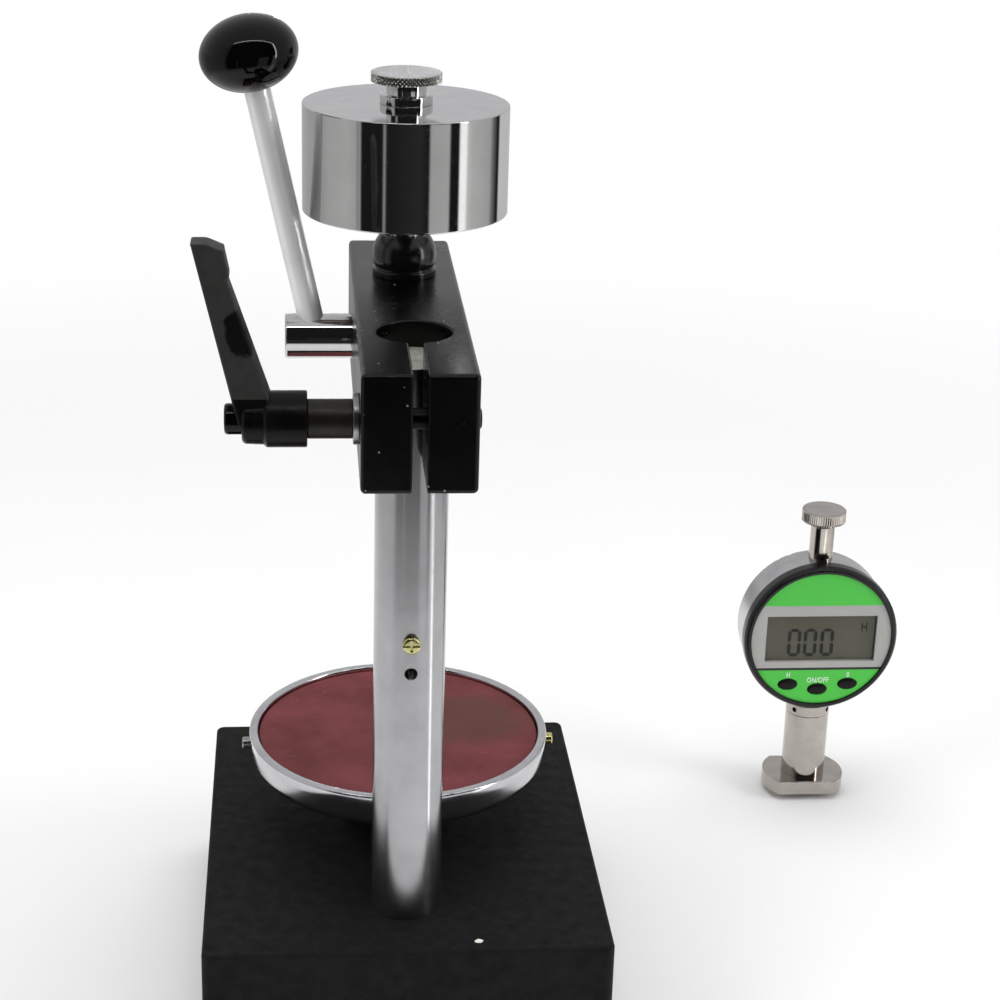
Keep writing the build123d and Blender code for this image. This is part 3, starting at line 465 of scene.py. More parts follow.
def add_node(tree: bpy.types.NodeTree, kind: str, inputs: Optional[dict] = None, **settings: object) -> Node:
    """Adds a node with its settings and its links.

    Args:
        tree: the tree to add it to.
        kind: the node's type, after the word ShaderNode.
        inputs: for each input, by name or number, a value, or the socket or node that feeds it;
            a node feeds it from the first output in use.
        settings: the node's own properties.

    Returns:
        The node.
    """
    node = tree.nodes.new("ShaderNode" + kind)
    for key, value in settings.items():
        setattr(node, key, value)
    for key, value in (inputs or {}).items():
        if isinstance(value, Node):
            value = next(out for out in value.outputs if out.enabled)
        if isinstance(value, bpy.types.NodeSocket):
            tree.links.new(value, node.inputs[key])
        else:
            node.inputs[key].default_value = value
    return node


def emptied(owner: Union[bpy.types.Material, bpy.types.World]) -> Put:
    """Empties a material's or a world's tree and returns add_node for it.

    Args:
        owner: the material or the world.

    Returns:
        add_node without its first argument.
    """
    owner.use_nodes = True
    owner.node_tree.nodes.clear()
    return partial(add_node, owner.node_tree)


@dataclass(frozen=True)
class Finish:
    """A surface finish: a colour that drifts, a roughness that drifts, a grain and dust.

    `drift_mm` is the size of the large soft patches, `grain_mm` the spacing of the finest marks and
    `relief_mm` their height.  `centre` is the place that the patterns are measured from.
    """

    name: str
    colour: str
    other: str
    smooth: float
    rough: float
    drift_mm: float
    grain_mm: float
    relief_mm: float
    metallic: float = 0.0
    ior: float = 1.5
    grain: Grain = Grain.EVEN
    dust: float = 0.0
    dust_mm: float = 0.5
    dust_colour: str = "#8c8c88"
    scratches: float = 0.0
    streak: float = 0.0
    alpha: float = 1.0
    centre: Spot = (0.0, 0.0, 0.0)

    def build(self) -> bpy.types.Material:
        """Makes the material.

        Returns:
            A material whose patterns read Object coordinates.
        """
        material = bpy.data.materials.new(self.name)
        put = emptied(material)
        place = put("Mapping", {"Vector": put("TexCoord").outputs["Object"],
                                "Location": tuple(-v * MM for v in self.centre)})
        patch = put("TexNoise", {"Vector": place, "Scale": 1000 / self.drift_mm, "Detail": 5.0,
                                 "Roughness": 0.6})
        blend = put("MapRange", {0: patch, 1: 0.3, 2: 0.7})
        base = put("Mix", {0: blend, 6: linear(self.colour), 7: linear(self.other)}, data_type="RGBA")
        grain = self.grain_value(put, place)
        rough = put("MapRange", {0: patch, 1: 0.3, 2: 0.7, 3: self.smooth, 4: self.rough})
        if self.dust:
            base, rough = self.add_dust(put, place, base, rough)
        if self.scratches:
            rough = self.add_scratches(put, place, rough)
        bump = put("Bump", {"Height": grain, "Strength": 1.0, "Distance": self.relief_mm * MM})
        inputs = {"Base Color": self.recolour(put, place, base), "Roughness": rough,
                  "Metallic": self.metallic, "Normal": bump, "Alpha": self.alpha}
        if not self.metallic:
            inputs["IOR"] = self.ior
        if self.streak:
            inputs |= {"Tangent": put("Tangent", direction_type="RADIAL", axis="Z"),
                       "Anisotropic": self.streak, "Anisotropic Rotation": 0.25}
        put("OutputMaterial", {"Surface": put("BsdfPrincipled", inputs)})
        return material

    def grain_value(self, put: Put, place: Node) -> Node:
        """The finest marks, from 0 to 1: even specks, lines round an axis or rings about it.

        Args:
            put: adds a node to the tree.
            place: the place that the pattern reads.

        Returns:
            The marks' height.
        """
        fine, long = 1000 / self.grain_mm, 1000 / (self.grain_mm * 60)
        scales = {Grain.EVEN: (fine, fine, fine), Grain.ROUND_Z: (long, long, fine),
                  Grain.ROUND_X: (fine, long, long), Grain.ROUND_Y: (long, fine, long)}
        if self.grain is Grain.RINGS:
            return put("TexNoise", {"W": self.from_axis(put, place), "Scale": fine, "Detail": 3.0},
                       noise_dimensions="1D")
        sized = put("Mapping", {"Vector": place, "Scale": scales[self.grain]})
        return put("TexNoise", {"Vector": sized, "Scale": 1.0, "Detail": 3.0, "Roughness": 0.6})

    def from_axis(self, put: Put, place: Node) -> Node:
        """Distance from the upright axis."""
        flat = put("VectorMath", {0: place, 1: (1, 1, 0)}, operation="MULTIPLY")
        return put("VectorMath", {0: flat}, operation="LENGTH")

    def add_dust(self, put: Put, place: Node, base: Node, rough: Node) -> tuple[Node, Node]:
        """Scattered specks: cells of a Voronoi pattern whose middles fall under a small radius.

        Args:
            put: adds a node to the tree.
            place: the place that the pattern reads.
            base: the colour without dust.
            rough: the roughness without dust.

        Returns:
            The colour and the roughness with it.
        """
        cell, largest, dull = self.dust_mm * 7, 0.16 * self.dust, 0.8
        cells = put("TexVoronoi", {"Vector": place, "Scale": 1000 / cell, "Randomness": 1.0})
        pick = put("SeparateColor", {0: cells.outputs["Color"]})
        size_of = put("Math", {0: pick, 1: largest}, operation="MULTIPLY")
        speck = put("Math", {0: cells.outputs["Distance"], 1: size_of}, operation="LESS_THAN")
        base = put("Mix", {0: speck, 6: base, 7: linear(self.dust_colour)}, data_type="RGBA")
        return base, put("Mix", {0: speck, 2: rough, 3: dull}, data_type="FLOAT")

    def add_scratches(self, put: Put, place: Node, rough: Node) -> Node:
        """Hairlines: a noise drawn out along a slant, of which only the narrow top band counts.

        Args:
            put: adds a node to the tree.
            place: the place that the pattern reads.
            rough: the roughness without hairlines.

        Returns:
            The roughness with them.
        """
        drawn = put("Mapping", {"Vector": place, "Rotation": (0.5, 0.9, 0.4), "Scale": (60, 2600, 2600)})
        noise = put("TexNoise", {"Vector": drawn, "Scale": 1.0, "Detail": 1.0})
        line = put("MapRange", {0: noise, 1: 0.68, 2: 0.76, 4: self.scratches})
        return put("Math", {0: rough, 1: line}, operation="ADD", use_clamp=True)

    def recolour(self, put: Put, place: Node, base: Node) -> Node:
        """Lets a finish with a mark on it change the colour; here it stays."""
        return base


@dataclass(frozen=True)
class FacePrint(Finish):
    """Printed film: green above and below, a silver-grey band and a black line under the band."""

    green: str = "#4ccf45"
    line: str = "#131413"
    band: Spot = (-13.2, -12.2, 14.0)

    def recolour(self, put: Put, place: Node, base: Node) -> Node:
        """Chooses the ink by the height over the face's middle.

        Args:
            put: adds a node to the tree.
            place: the place that the pattern reads.
            base: the band's colour.

        Returns:
            The colour of the print.
        """
        height = put("SeparateXYZ", {0: place}).outputs["Z"]
        low, top, high = (b * MM for b in self.band)
        over = put("Math", {0: height, 1: high}, operation="GREATER_THAN")
        under = put("Math", {0: height, 1: low}, operation="LESS_THAN")
        ink = put("Math", {0: over, 1: under}, operation="MAXIMUM")
        below = put("Math", {0: height, 1: top}, operation="LESS_THAN")
        base = put("Mix", {0: below, 6: base, 7: linear(self.line)}, data_type="RGBA")
        return put("Mix", {0: ink, 6: base, 7: linear(self.green)}, data_type="RGBA")


@dataclass(frozen=True)
class Marked(Finish):
    """A finish with one spot of another colour, whose ragged edge comes from noise.

    `spot` is the spot's middle and `spread_mm` its half widths along x, y and z.
    """

    spot: Spot = (0.0, 0.0, 0.0)
    spread_mm: Spot = (1.0, 1.0, 1.0)
    spot_colour: str = "#ffffff"
    ragged_mm: float = 1.0
    soft: float = 0.14
    rim: float = 1.35

    def recolour(self, put: Put, place: Node, base: Node) -> Node:
        """Mixes the spot in where the stretched distance from its middle plus noise is under the rim.

        Args:
            put: adds a node to the tree.
            place: the place that the pattern reads.
            base: the colour without the spot.

        Returns:
            The colour with it.
        """
        away = put("VectorMath", {0: place, 1: tuple(v * MM for v in self.spot)}, operation="SUBTRACT")
        away = put("VectorMath", {0: away, 1: tuple(1000 / v for v in self.spread_mm)}, operation="MULTIPLY")
        reach = put("VectorMath", {0: away}, operation="LENGTH")
        noise = put("TexNoise", {"Vector": place, "Scale": 1000 / self.ragged_mm, "Detail": 3.0})
        edge = put("Math", {0: reach, 1: noise}, operation="ADD")
        low, high = self.rim - self.soft / 2, self.rim + self.soft / 2
        mask = put("MapRange", {0: edge, 1: low, 2: high, 3: 1.0, 4: 0.0})
        return put("Mix", {0: mask, 6: base, 7: linear(self.spot_colour)}, data_type="RGBA")


@dataclass(frozen=True)
class Knurled(Finish):
    """Plated knurl with painted shade, a darker colour, at the bottom of its grooves."""

    # painted shade: the colour deep in the grooves
    groove_shade: str = "#35342d"
    deep_mm: float = 10.52
    crest_mm: float = 10.82

    def recolour(self, put: Put, place: Node, base: Node) -> Node:
        """Darkens what lies nearer to the upright axis than the crests do, as painted shade in the grooves.

        Args:
            put: adds a node to the tree.
            place: the place that the pattern reads.
            base: the crests' colour.

        Returns:
            The colour with the painted shade.
        """
        reach = self.from_axis(put, place)
        # painted shade: the grooves are coloured darker than the crests
        crest = put("MapRange", {0: reach, 1: self.deep_mm * MM, 2: self.crest_mm * MM})
        return put("Mix", {0: crest, 6: linear(self.groove_shade), 7: base}, data_type="RGBA")


# Each row: name, two colours, least and most roughness, then the patches' size, the grain's spacing and
# its height, and the metallic share where there is one.
FINISHES: dict[str, Finish] = {
    # Crinkle paint on cast iron: nearly matt black that breaks up every highlight. The wrinkles are drawn
    # 0.9 mm wide, about twice the real ones, so that they show. One chip shows the primer.
    "crinkle": Marked("black_crinkle_paint", "#1a1b1a", "#121312", 0.55, 0.7, 5, 0.9, 0.06, ior=1.2,
                      spot=(21.6, -86.6, 50.0), spread_mm=(1.5, 1.3, 4.0), spot_colour="#f1efe6",
                      ragged_mm=1.4),
    # Stoved satin enamel: deep black with a low soft sheen and some dust.
    "enamel": Finish("black_satin_enamel", "#040504", "#090a09", 0.2, 0.3, 24, 2.0, 0.001, ior=1.32,
                     dust=0.7, dust_colour="#7d7d78"),
    # Rubber from a polished mould: black with broad soft lights.
    "rubber": Finish("moulded_black_rubber", "#0b0b0b", "#111211", 0.17, 0.25, 6, 1.2, 0.003),
    # Sheet rubber, cut: dull and slightly grey.
    "sole": Finish("cut_sheet_rubber", "#161616", "#0f0f0f", 0.7, 0.85, 8, 0.35, 0.03),
    # Steel ground round its axis: the lines draw the lights out into upright streaks.
    "ground": Finish("ground_steel", "#b4b4b6", "#a5a5a7", 0.16, 0.22, 20, 0.12, 0.001, 1.0,
                     grain=Grain.ROUND_Z, streak=0.75),
    # Chrome plate on polished steel: a mirror with a few hairlines.
    "chrome": Finish("polished_chrome_plate", "#cfcfce", "#c6c6c5", 0.04, 0.065, 14, 2.5, 0.0008, 1.0,
                     scratches=0.14),
    # Chrome plate on a turned face: a mirror softened by rings.
    "chrome_top": Finish("turned_chrome_plate", "#cfcfce", "#c4c4c5", 0.06, 0.1, 9, 0.3, 0.0006, 1.0,
                         grain=Grain.RINGS, scratches=0.06),
    # Chrome plate on a fine-turned face: bright, without a clear image.
    "satin_chrome": Finish("satin_chrome_plate", "#d3d4d3", "#c6c6c4", 0.16, 0.24, 9, 0.3, 0.0008, 1.0,
                           grain=Grain.ROUND_Z),
    # Nickel plate gone cloudy: pale grey, half mirror and half chalk, so it is not fully metallic.
    "dull_plate": Finish("clouded_nickel_plate", "#f6f7f6", "#ecedec", 0.34, 0.42, 14, 1.2, 0.0001, 0.38,
                         streak=0.6),
    # Faced steel under a film of oxide: pale, dull and ringed, so it is not fully metallic.
    "sawn": Finish("faced_steel", "#b9b8b0", "#8f8e86", 0.55, 0.7, 3, 0.5, 0.006, 0.4,
                   grain=Grain.RINGS, centre=(0.0, COLUMN_Y, 0.0)),
    # Chrome plate on a knurl: bright crests over grooves darkened with painted shade. The diamonds are drawn
    # 1.3 mm apart, coarser than the real ones, so that they show.
    "knurl": Knurled("knurled_chrome_plate", "#d8d7d2", "#c2c0ba", 0.24, 0.32, 3, 0.5, 0.001, 1.0),
    # Glass-filled nylon, blacker and glossier than its moulded skin: a darker copy of that finish, as painted
    # shade on the lever's hub and the clamp stud.
    "hub": Finish("glass_filled_nylon_painted_shade", "#050605", "#0a0a0a", 0.26, 0.36, 5, 0.5, 0.006, ior=1.25),
    # Glass-filled nylon as moulded: charcoal, fine-grained and dull, with one oily smear.
    "plastic": Marked("moulded_glass_filled_nylon", "#343433", "#2b2b2a", 0.44, 0.56, 5, 0.45, 0.012,
                      ior=1.28, dust=0.4, dust_colour="#3c3d3c", spot=(-49.2, -94.5, 249.0),
                      spread_mm=(5.2, 12.0, 7.6), spot_colour="#020202", ragged_mm=5.0),
    # Phenolic, moulded and buffed: wet-looking black with sharp lights.
    "gloss": Finish("buffed_black_phenolic", "#020302", "#050605", 0.05, 0.08, 10, 4.0, 0.002, ior=1.31),
    # Steel blackened in oil: brown-black turned lines with a weak sheen, so it is not fully metallic.
    "dark_steel": Finish("oil_blackened_steel", "#23211c", "#34312a", 0.34, 0.46, 4, 0.16, 0.006, 0.7,
                         grain=Grain.ROUND_X),
    # Bright steel screws and works: plain satin grey.
    "plain": Finish("bright_steel", "#b0b0af", "#939391", 0.26, 0.38, 5, 0.3, 0.005, 1.0),
    # Turned aluminium: a pale cool mirror, blurred by lines round the rim.
    "anvil": Finish("turned_aluminium", "#d2d2d4", "#bdbdc0", 0.13, 0.2, 16, 0.3, 0.001, 1.0,
                    grain=Grain.ROUND_Z),
    # Paper-phenolic laminate: dull brick red, cloudy, with a darker brown patch to the right and rear that is
    # a painted reflection.
    "board": Marked("red_phenolic_laminate", "#7d3e43", "#5f3030", 0.55, 0.68, 22, 0.35, 0.01, ior=1.28,
                    dust=0.7, dust_mm=0.7, dust_colour="#8a5156", spot=(24.0, 8.0, 79.5),
                    spread_mm=(24.0, 21.0, 8.0), spot_colour="#5f3b35", ragged_mm=9.0, soft=0.5),
    # Sintered bronze: porous and brown-gold.
    "bronze": Finish("sintered_bronze", "#a87f4c", "#8c6739", 0.32, 0.45, 4, 0.25, 0.006, 1.0),
    # Zinc plate passivated yellow: pale greenish gold.
    "zinc": Finish("yellow_zinc_plate", "#c3bc72", "#d8d3a8", 0.2, 0.32, 2, 0.3, 0.003, 1.0),
    # Nickel plate on fine turning: warm grey with soft upright lights.
    "satin": Finish("satin_nickel_plate", "#bfb9b2", "#aba59e", 0.1, 0.17, 8, 0.14, 0.002, 1.0,
                    grain=Grain.ROUND_Z),
    # Stainless steel brushed across: cool grey silk.
    "case": Finish("brushed_stainless_steel", "#c6c5c4", "#b3b3b5", 0.16, 0.26, 10, 0.14, 0.003, 1.0,
                   grain=Grain.ROUND_Y),
    # ABS as moulded: near black with a mild gloss.
    "bezel": Finish("moulded_black_abs", "#0b0a0b", "#131112", 0.2, 0.3, 7, 0.5, 0.005, ior=1.4),
    # Polyester film printed on its back: flat inks under a satin skin.
    "film": FacePrint("printed_polyester_film", "#b9b8b5", "#afaeab", 0.34, 0.42, 20, 0.3, 0.003,
                      centre=(GAUGE_X, 0, DIAL_Z)),
    # Silicone rubber: dull black.
    "key": Finish("moulded_silicone_rubber", "#060706", "#0b0c0b", 0.35, 0.5, 2, 0.3, 0.006, ior=1.3),
    # Acrylic sheet: what lies behind it shows, under a thin gloss.
    "pane": Finish("clear_acrylic", "#20211d", "#262722", 0.05, 0.09, 12, 3.0, 0.001, alpha=0.06),
    # Unlit liquid-crystal glass: flat olive grey.
    "lcd": Finish("liquid_crystal_glass", "#646353", "#5c5b4d", 0.45, 0.5, 16, 0.22, 0.002),
    # Driven liquid-crystal segments: flat brown-black.
    "segment": Finish("liquid_crystal_segment", "#1c1a18", "#262422", 0.6, 0.7, 3, 0.3, 0.001),
    # Screen-printed white ink: flat, tinted by the green film under it.
    "ink": Finish("printed_white_ink", "#e2f2e0", "#eef6ec", 0.5, 0.6, 1.5, 0.25, 0.001),
    # Glass-epoxy board under green solder mask.
    "circuit": Finish("glass_epoxy_board", "#1f5a34", "#2b6b3e", 0.4, 0.55, 3, 0.4, 0.01),
    # Natural nylon: milky white.
    "nylon": Finish("natural_nylon", "#dedcd3", "#cfcdc4", 0.45, 0.55, 3, 0.4, 0.006),
}
COATS: dict[str, bpy.types.Material] = {}


def coat(name: str) -> bpy.types.Material:
    """The material of a finish, made once.

    Args:
        name: the finish's key.

    Returns:
        The material.
    """
    if name not in COATS:
        COATS[name] = FINISHES[name].build()
    return COATS[name]


# ---- the stand -------------------------------------------------------------------------------
@dataclass
class BaseBlock:
    """Iron base block on its rubber sole."""

    low: Spot = (-64.0, -92.3, 3.0)
    high: Spot = (64.0, 62.7, 50.0)
    corner: float = 2.8
    edge: float = 1.2
    inset: float = 2.5
    sole_edge: float = 0.3

    def build(self) -> list[Piece]:
        """Makes the block and the sole.

        Returns:
            The two pieces.
        """
        block = rounded_block("base_block", self.low, self.high, self.corner, self.edge)
        low = (self.low[0] + self.inset, self.low[1] + self.inset, 0)
        high = (self.high[0] - self.inset, self.high[1] - self.inset, self.low[2])
        sole = rounded_block("base_sole", low, high, self.corner, self.sole_edge)
        return [dress(block, "base", "crinkle"), dress(sole, "sole", "sole")]


@dataclass
class Column:
    """Ground bar with its stop screw and spare hole at the rear."""

    radius: float = 11.0
    low: float = 50.0
    high: float = 232.5
    hole_z: float = 136.0
    hole_r: float = 2.0
    hole_depth: float = 6.0
    stop_z: float = 146.0
    head_r: float = 2.8
    head_h: float = 2.0
    shank: float = 1.5
    slots: tuple = ((4.0, 0.35), (0.35, 1.9))

    def build(self) -> list[Piece]:
        """Makes the bar and the screw.

        Returns:
            The two pieces.
        """
        rear, z, bottom, top = COLUMN_Y - self.radius, self.stop_z, 2.4, 1.2
        bar = turned("column_bar", rod(self.radius, 0, self.high - self.low, 0, 0.5), (0, COLUMN_Y, self.low),
                     steps=200)
        carve(bar, [turned("drill", rod(self.hole_r, -2, self.hole_depth), (0, rear, self.hole_z), Way.BACK,
                           48)])
        profile = stepped(self.shank, -6, 0, self.head_r, self.head_h, under=0.2, edge=1.1)
        screw = turned("stop_screw_head", profile, (0, rear, z), Way.FRONT, 64)
        carve(screw, [rounded_block("slot", (-wide, rear - bottom, z - tall), (wide, rear - top, z + tall),
                                    0.1, 0.1, 0.1) for wide, tall in self.slots])
        dress(bar, "column", "ground", "sawn")
        flat_ends(bar)
        return [bar, dress(screw, "stop_screw", "zinc")]


@dataclass
class Anvil:
    """Shallow dish with its red specimen plate, over a ball in the pedestal."""

    top: float = 81.0
    radius: float = 50.6
    wall: float = 2.9
    draft: float = 1.6
    recess_r: float = 40.0
    foot_r: float = 41.0
    seat_z: float = 72.0
    seat_r: float = 17.86
    sole_z: float = 68.8
    sink: float = 5.5
    bead: float = 2.6
    ball: float = 20.0
    gap: float = 0.5
    plate: float = 4.0
    shank: float = 1.5
    head_r: float = 2.0
    head_h: float = 3.0
    screw_drop: float = 5.6

    def build(self) -> list[Piece]:
        """Makes the dish, the plate and the two rim screws; the ball's seat is r sin(u), top - r cos(u).

        Returns:
            The pieces.
        """
        inner, floor, base_r = self.radius - self.wall, self.top - self.sink, self.radius - self.draft
        turn = np.linspace(0, math.acos((self.top - self.seat_z - 1.0) / self.ball), 20)
        bowl = np.column_stack([self.ball * np.sin(turn), self.top - self.ball * np.cos(turn)]) * MM
        rim = rounded([(self.seat_r, self.seat_z, 0), (self.recess_r, self.seat_z, 0.3),
                       (self.foot_r, self.sole_z, 1.0), (base_r - 0.2, self.sole_z, 4.6),
                       (self.radius - 0.1, self.top - self.bead, 1.2), (self.radius, self.top, 1.7),
                       (inner, self.top, 1.0), (inner - 0.4, floor, 0), (0, floor, 0)], steps=10)
        bowl = bowl[bowl[:, 1] <= self.seat_z * MM]
        dish = turned("anvil_rim", np.vstack([bowl, rim]), (0, 0, 0), steps=224)
        plate = turned("specimen_plate", rod(inner - self.gap, floor, floor + self.plate, 0.1, 0.3),
                       (0, 0, 0), steps=224)
        made = [dress(dish, "anvil_dish", "anvil"), dress(plate, "anvil_insert", "board")]
        profile = stepped(self.shank, -5, 0, self.head_r, self.head_h, under=0.1, edge=0.6)
        for side, way, finish in (("left", Way.LEFT, "plain"), ("right", Way.RIGHT, "zinc")):
            at = ((self.radius - 0.6) * way.value[2][0], 0, self.top - self.screw_drop)
            screw = turned(f"rim_screw_head_{side}", profile, at, way, 48)
            made.append(dress(screw, f"rim_screw_{side}", finish))
        return made


@dataclass
class Arm:
    """Square bracket, split behind the column, with the rubber buffer on top."""

    half: float = 16.5
    rear: float = -104.0
    front: float = 42.0
    low: float = 205.5
    high: float = 240.5
    slit: float = 2.1
    bore: float = 11.02
    spindle_bore: float = 8.02
    pinion_bore: float = 7.03
    stud_bore: float = 3.1
    brake_bore: float = 3.02
    edge: float = 1.5
    dome: float = 10.05
    dome_z: float = 6.4
    dome_top: float = 13.0
    hole: float = 6.4

    def outline(self) -> np.ndarray:
        """Keyhole outline: a rectangle whose rear edge runs in along the slit and round the bore.

        Returns:
            (x, y) rows.
        """
        start = math.asin(self.slit / self.bore)
        turn = np.linspace(-math.pi / 2 - start, -2.5 * math.pi + start, 120)
        ring = np.column_stack([np.cos(turn) * self.bore, np.sin(turn) * self.bore + COLUMN_Y])
        left = [(self.slit, self.rear), (self.half, self.rear), (self.half, self.front)]
        return np.vstack([left, [(-x, y) for x, y in left[::-1]], ring])

    def build(self) -> list[Piece]:
        """Makes the bracket with its bores, and the buffer.

        Returns:
            The two pieces.
        """
        bracket = outline_prism("arm_bracket", self.outline(), self.low, self.high)
        self.mark_edges(bracket)
        soften(bracket, self.edge, 5, Edges.MARKED)
        left, right = (-self.half, PINION_Y, SHAFT_Z), (self.half, PINION_Y, SHAFT_Z)
        carve(bracket, [turned("spindle_bore", rod(self.spindle_bore, -1, 36), (0, 0, self.low)),
                        turned("pinion_bore", rod(self.pinion_bore, -1, 29), left, Way.RIGHT),
                        turned("stud_bore", rod(self.stud_bore, -1, 34), (-self.half, CLAMP_Y, SHAFT_Z),
                               Way.RIGHT, 64),
                        turned("brake_bore", rod(self.brake_bore, -1, 6), right, Way.LEFT, 64)])
        return [dress(bracket, "arm", "enamel"), self.buffer()]

    def buffer(self) -> Piece:
        """Rubber ring under a dome whose radius is the root of dome^2 - (1.02 (z - dome_z))^2.

        Returns:
            The piece.
        """
        flange, neck, start = 10, 9.2, 3.0
        foot = rounded([(self.hole, 0, 0.1), (flange, 0, 0.3), (flange, 2.2, 0.6), (neck, 2.4, 0.15),
                        (neck, 2.8, 0.1)], steps=5)
        rise = np.linspace(start, self.dome_top, 36)
        reach = np.sqrt(self.dome ** 2 - (1.02 * (rise - self.dome_z)) ** 2)
        dome = np.column_stack([np.minimum(reach, 9.35 + 0.9 * (rise - start)), rise])
        profile = np.vstack([foot, dome * MM, [[self.hole * MM, self.dome_top * MM]]])
        piece = turned("buffer_dome", profile, (0, 0, self.high), steps=128, ring=True)
        return dress(piece, "buffer", "rubber")

    def mark_edges(self, piece: Piece) -> None:
        """Weights the edges for the rounding: the outside most, the bore and the slit less.

        Args:
            piece: the raw bracket.
        """
        mesh, near, less = piece.data, 0.01, 0.45
        ends = np.empty(len(mesh.edges) * 2, np.int32)
        mesh.edges.foreach_get("vertices", ends)
        spots = np.empty(len(mesh.vertices) * 3)
        mesh.vertices.foreach_get("co", spots)
        spots = spots.reshape(-1, 3)[ends.reshape(-1, 2)] / MM
        mid, run = spots.mean(axis=1), np.abs(spots[:, 0] - spots[:, 1])
        at_rear, in_slit = mid[:, 1] < self.rear + near, np.abs(mid[:, 0]) <= self.slit + near
        outer = np.abs(mid[:, 0]) > self.half - near
        outer |= (mid[:, 1] > self.front - near) | (at_rear & ~in_slit)
        weight = np.where(outer, 1.0, np.where((run[:, 2] < near) | (at_rear & in_slit), less, 0.0))
        mark = mesh.attributes.new("bevel_weight_edge", "FLOAT", "EDGE")
        mark.data.foreach_set("value", weight.astype(np.float32))


@dataclass
class Clamp:
    """Clamping screw with its washer, sleeve, cap and leaning lever."""

    side: float = -16.5
    washer: float = 1.8
    sleeve: float = 12.7
    stud: float = 3.0
    boss: float = 5.0
    pocket: float = 5.03
    hub: float = 20.6
    lean: float = 0.285
    rise: float = 51.0
    square: float = 0.22
    # level over the shaft below which the lever's hub takes the painted shade
    seam: float = 8.02

    def at(self, x: float) -> Spot:
        """A place on the screw's axis."""
        return (x, CLAMP_Y, SHAFT_Z)

    def build(self) -> list[Piece]:
        """Makes the screw's pieces.

        Returns:
            The pieces.
        """
        start = self.side - self.washer - self.sleeve
        ring = turned("clamp_washer_ring", tube(3.2, 7.3, 1.78, 0.1, 0.3, 0.3), self.at(self.side), Way.LEFT,
                      ring=True)
        sleeve = turned("clamp_sleeve_tube", tube(3.02, 5.6, self.sleeve, 0, 0.3, 0.3),
                        self.at(self.side - self.washer), Way.LEFT, ring=True)
        profile = stepped(self.stud, -49, 0, self.boss, 12, foot=0.8, under=0.2, edge=0.2)
        core = turned("clamp_stud_core", profile, self.at(start), Way.LEFT)
        head = turned("clamp_cap_head", stepped(2, -5, -2.4, 4.4, 3.1, under=0.2, edge=1.1),
                      self.at(start - self.hub + 0.6), Way.LEFT)
        # the clamp stud takes the hub's near-black finish as painted shade in the arm's slit
        return [dress(ring, "clamp_washer", "plain"), dress(sleeve, "clamp_sleeve", "dark_steel"),
                dress(core, "clamp_stud", "hub"), dress(head, "clamp_cap", "gloss"), self.lever(start)]

    def lever(self, start: float) -> Piece:
        """Moulded lever: a stepped hub joined to a leaning bar; the hub has a darker copy of the bar's
        finish, as painted shade.

        Args:
            start: the hub's inner end.

        Returns:
            The piece.
        """
        outer, mouth, shelf, end = 8, 4.7, 14, 18.2
        hub = turned("clamp_lever", [(self.pocket, 0, 0.1), (outer, 0, 0.5), (outer, 11.3, 0.25),
                                     (7.7, 11.6, 0.2), (7.2, 12.1, 0.3), (7, 17.4, 1.2), (6.2, end, 0.5),
                                     (mouth, end, 0.2), (mouth, shelf, 0), (self.pocket, 12, 0)],
                     self.at(start), Way.LEFT, 128, ring=True)
        carve(hub, [self.bar(start)], Cut.JOIN)
        carve(hub, [turned("pocket", [(0, -0.1, 0), (self.pocket, -0.1, 0), (self.pocket, 12.04, 0),
                                      (2.2, 12.04, 0), (2.2, shelf, 0), (mouth, shelf, 0), (mouth, 19, 0),
                                      (0, 19, 0)], self.at(start), Way.LEFT)])
        dress(hub, "clamp_handle", "plastic", "hub")
        # painted shade: the hub's faces, below the level, take the darker finish
        share_out(hub, face_vectors(hub, "center")[:, 2] < (SHAFT_Z + self.seam) * MM)
        return hub

    def bar(self, start: float) -> Piece:
        """The lever's bar, whose tip has a lip and a cut corner.

        Its section at rise s is |x/a|^n + |y/b|^n = 1; a and the middle follow the two edges.

        Args:
            start: the hub's inner end.

        Returns:
            The piece.
        """
        tip, lip_z, cut_z = self.rise, [41.3, 41.45, 41.75, 42.2, 49.1], 49.1
        rise = np.concatenate([[0, 0.3], np.linspace(2, 41.2, 30), lip_z[:4], np.linspace(43, 49.1, 8),
                               np.linspace(49.3, tip - 0.35, 6), [tip - 0.1, tip]])
        lip = np.interp(rise, lip_z, [0, 0.5, 0.82, 0.95, 1.9]) - np.interp(rise, [cut_z, tip], [0, 3.9])
        edge = np.interp(rise, [tip - 0.35, tip - 0.1, tip], [0, 0.12, 0.4])
        left, right = -5.8 + 0.05 * rise + edge, 5.8 - 0.05 * rise + lip - edge
        root = start - self.hub / 2 - 3.3
        middle_x, half_x = root - self.lean * rise + (left + right) / 2, (right - left) / 2
        half_y = 5.5 - 1.2 * rise / tip - edge
        cos, sin = np.cos(around(96)), np.sin(around(96))
        x = np.sign(cos) * np.abs(cos) ** self.square * half_x[:, None]
        y = np.sign(sin) * np.abs(sin) ** self.square * half_y[:, None]
        spots = np.stack([middle_x[:, None] + x, CLAMP_Y + y, SHAFT_Z + rise[:, None] + 0 * x], axis=-1)
        return skin("clamp_bar", spots * MM, caps=True)


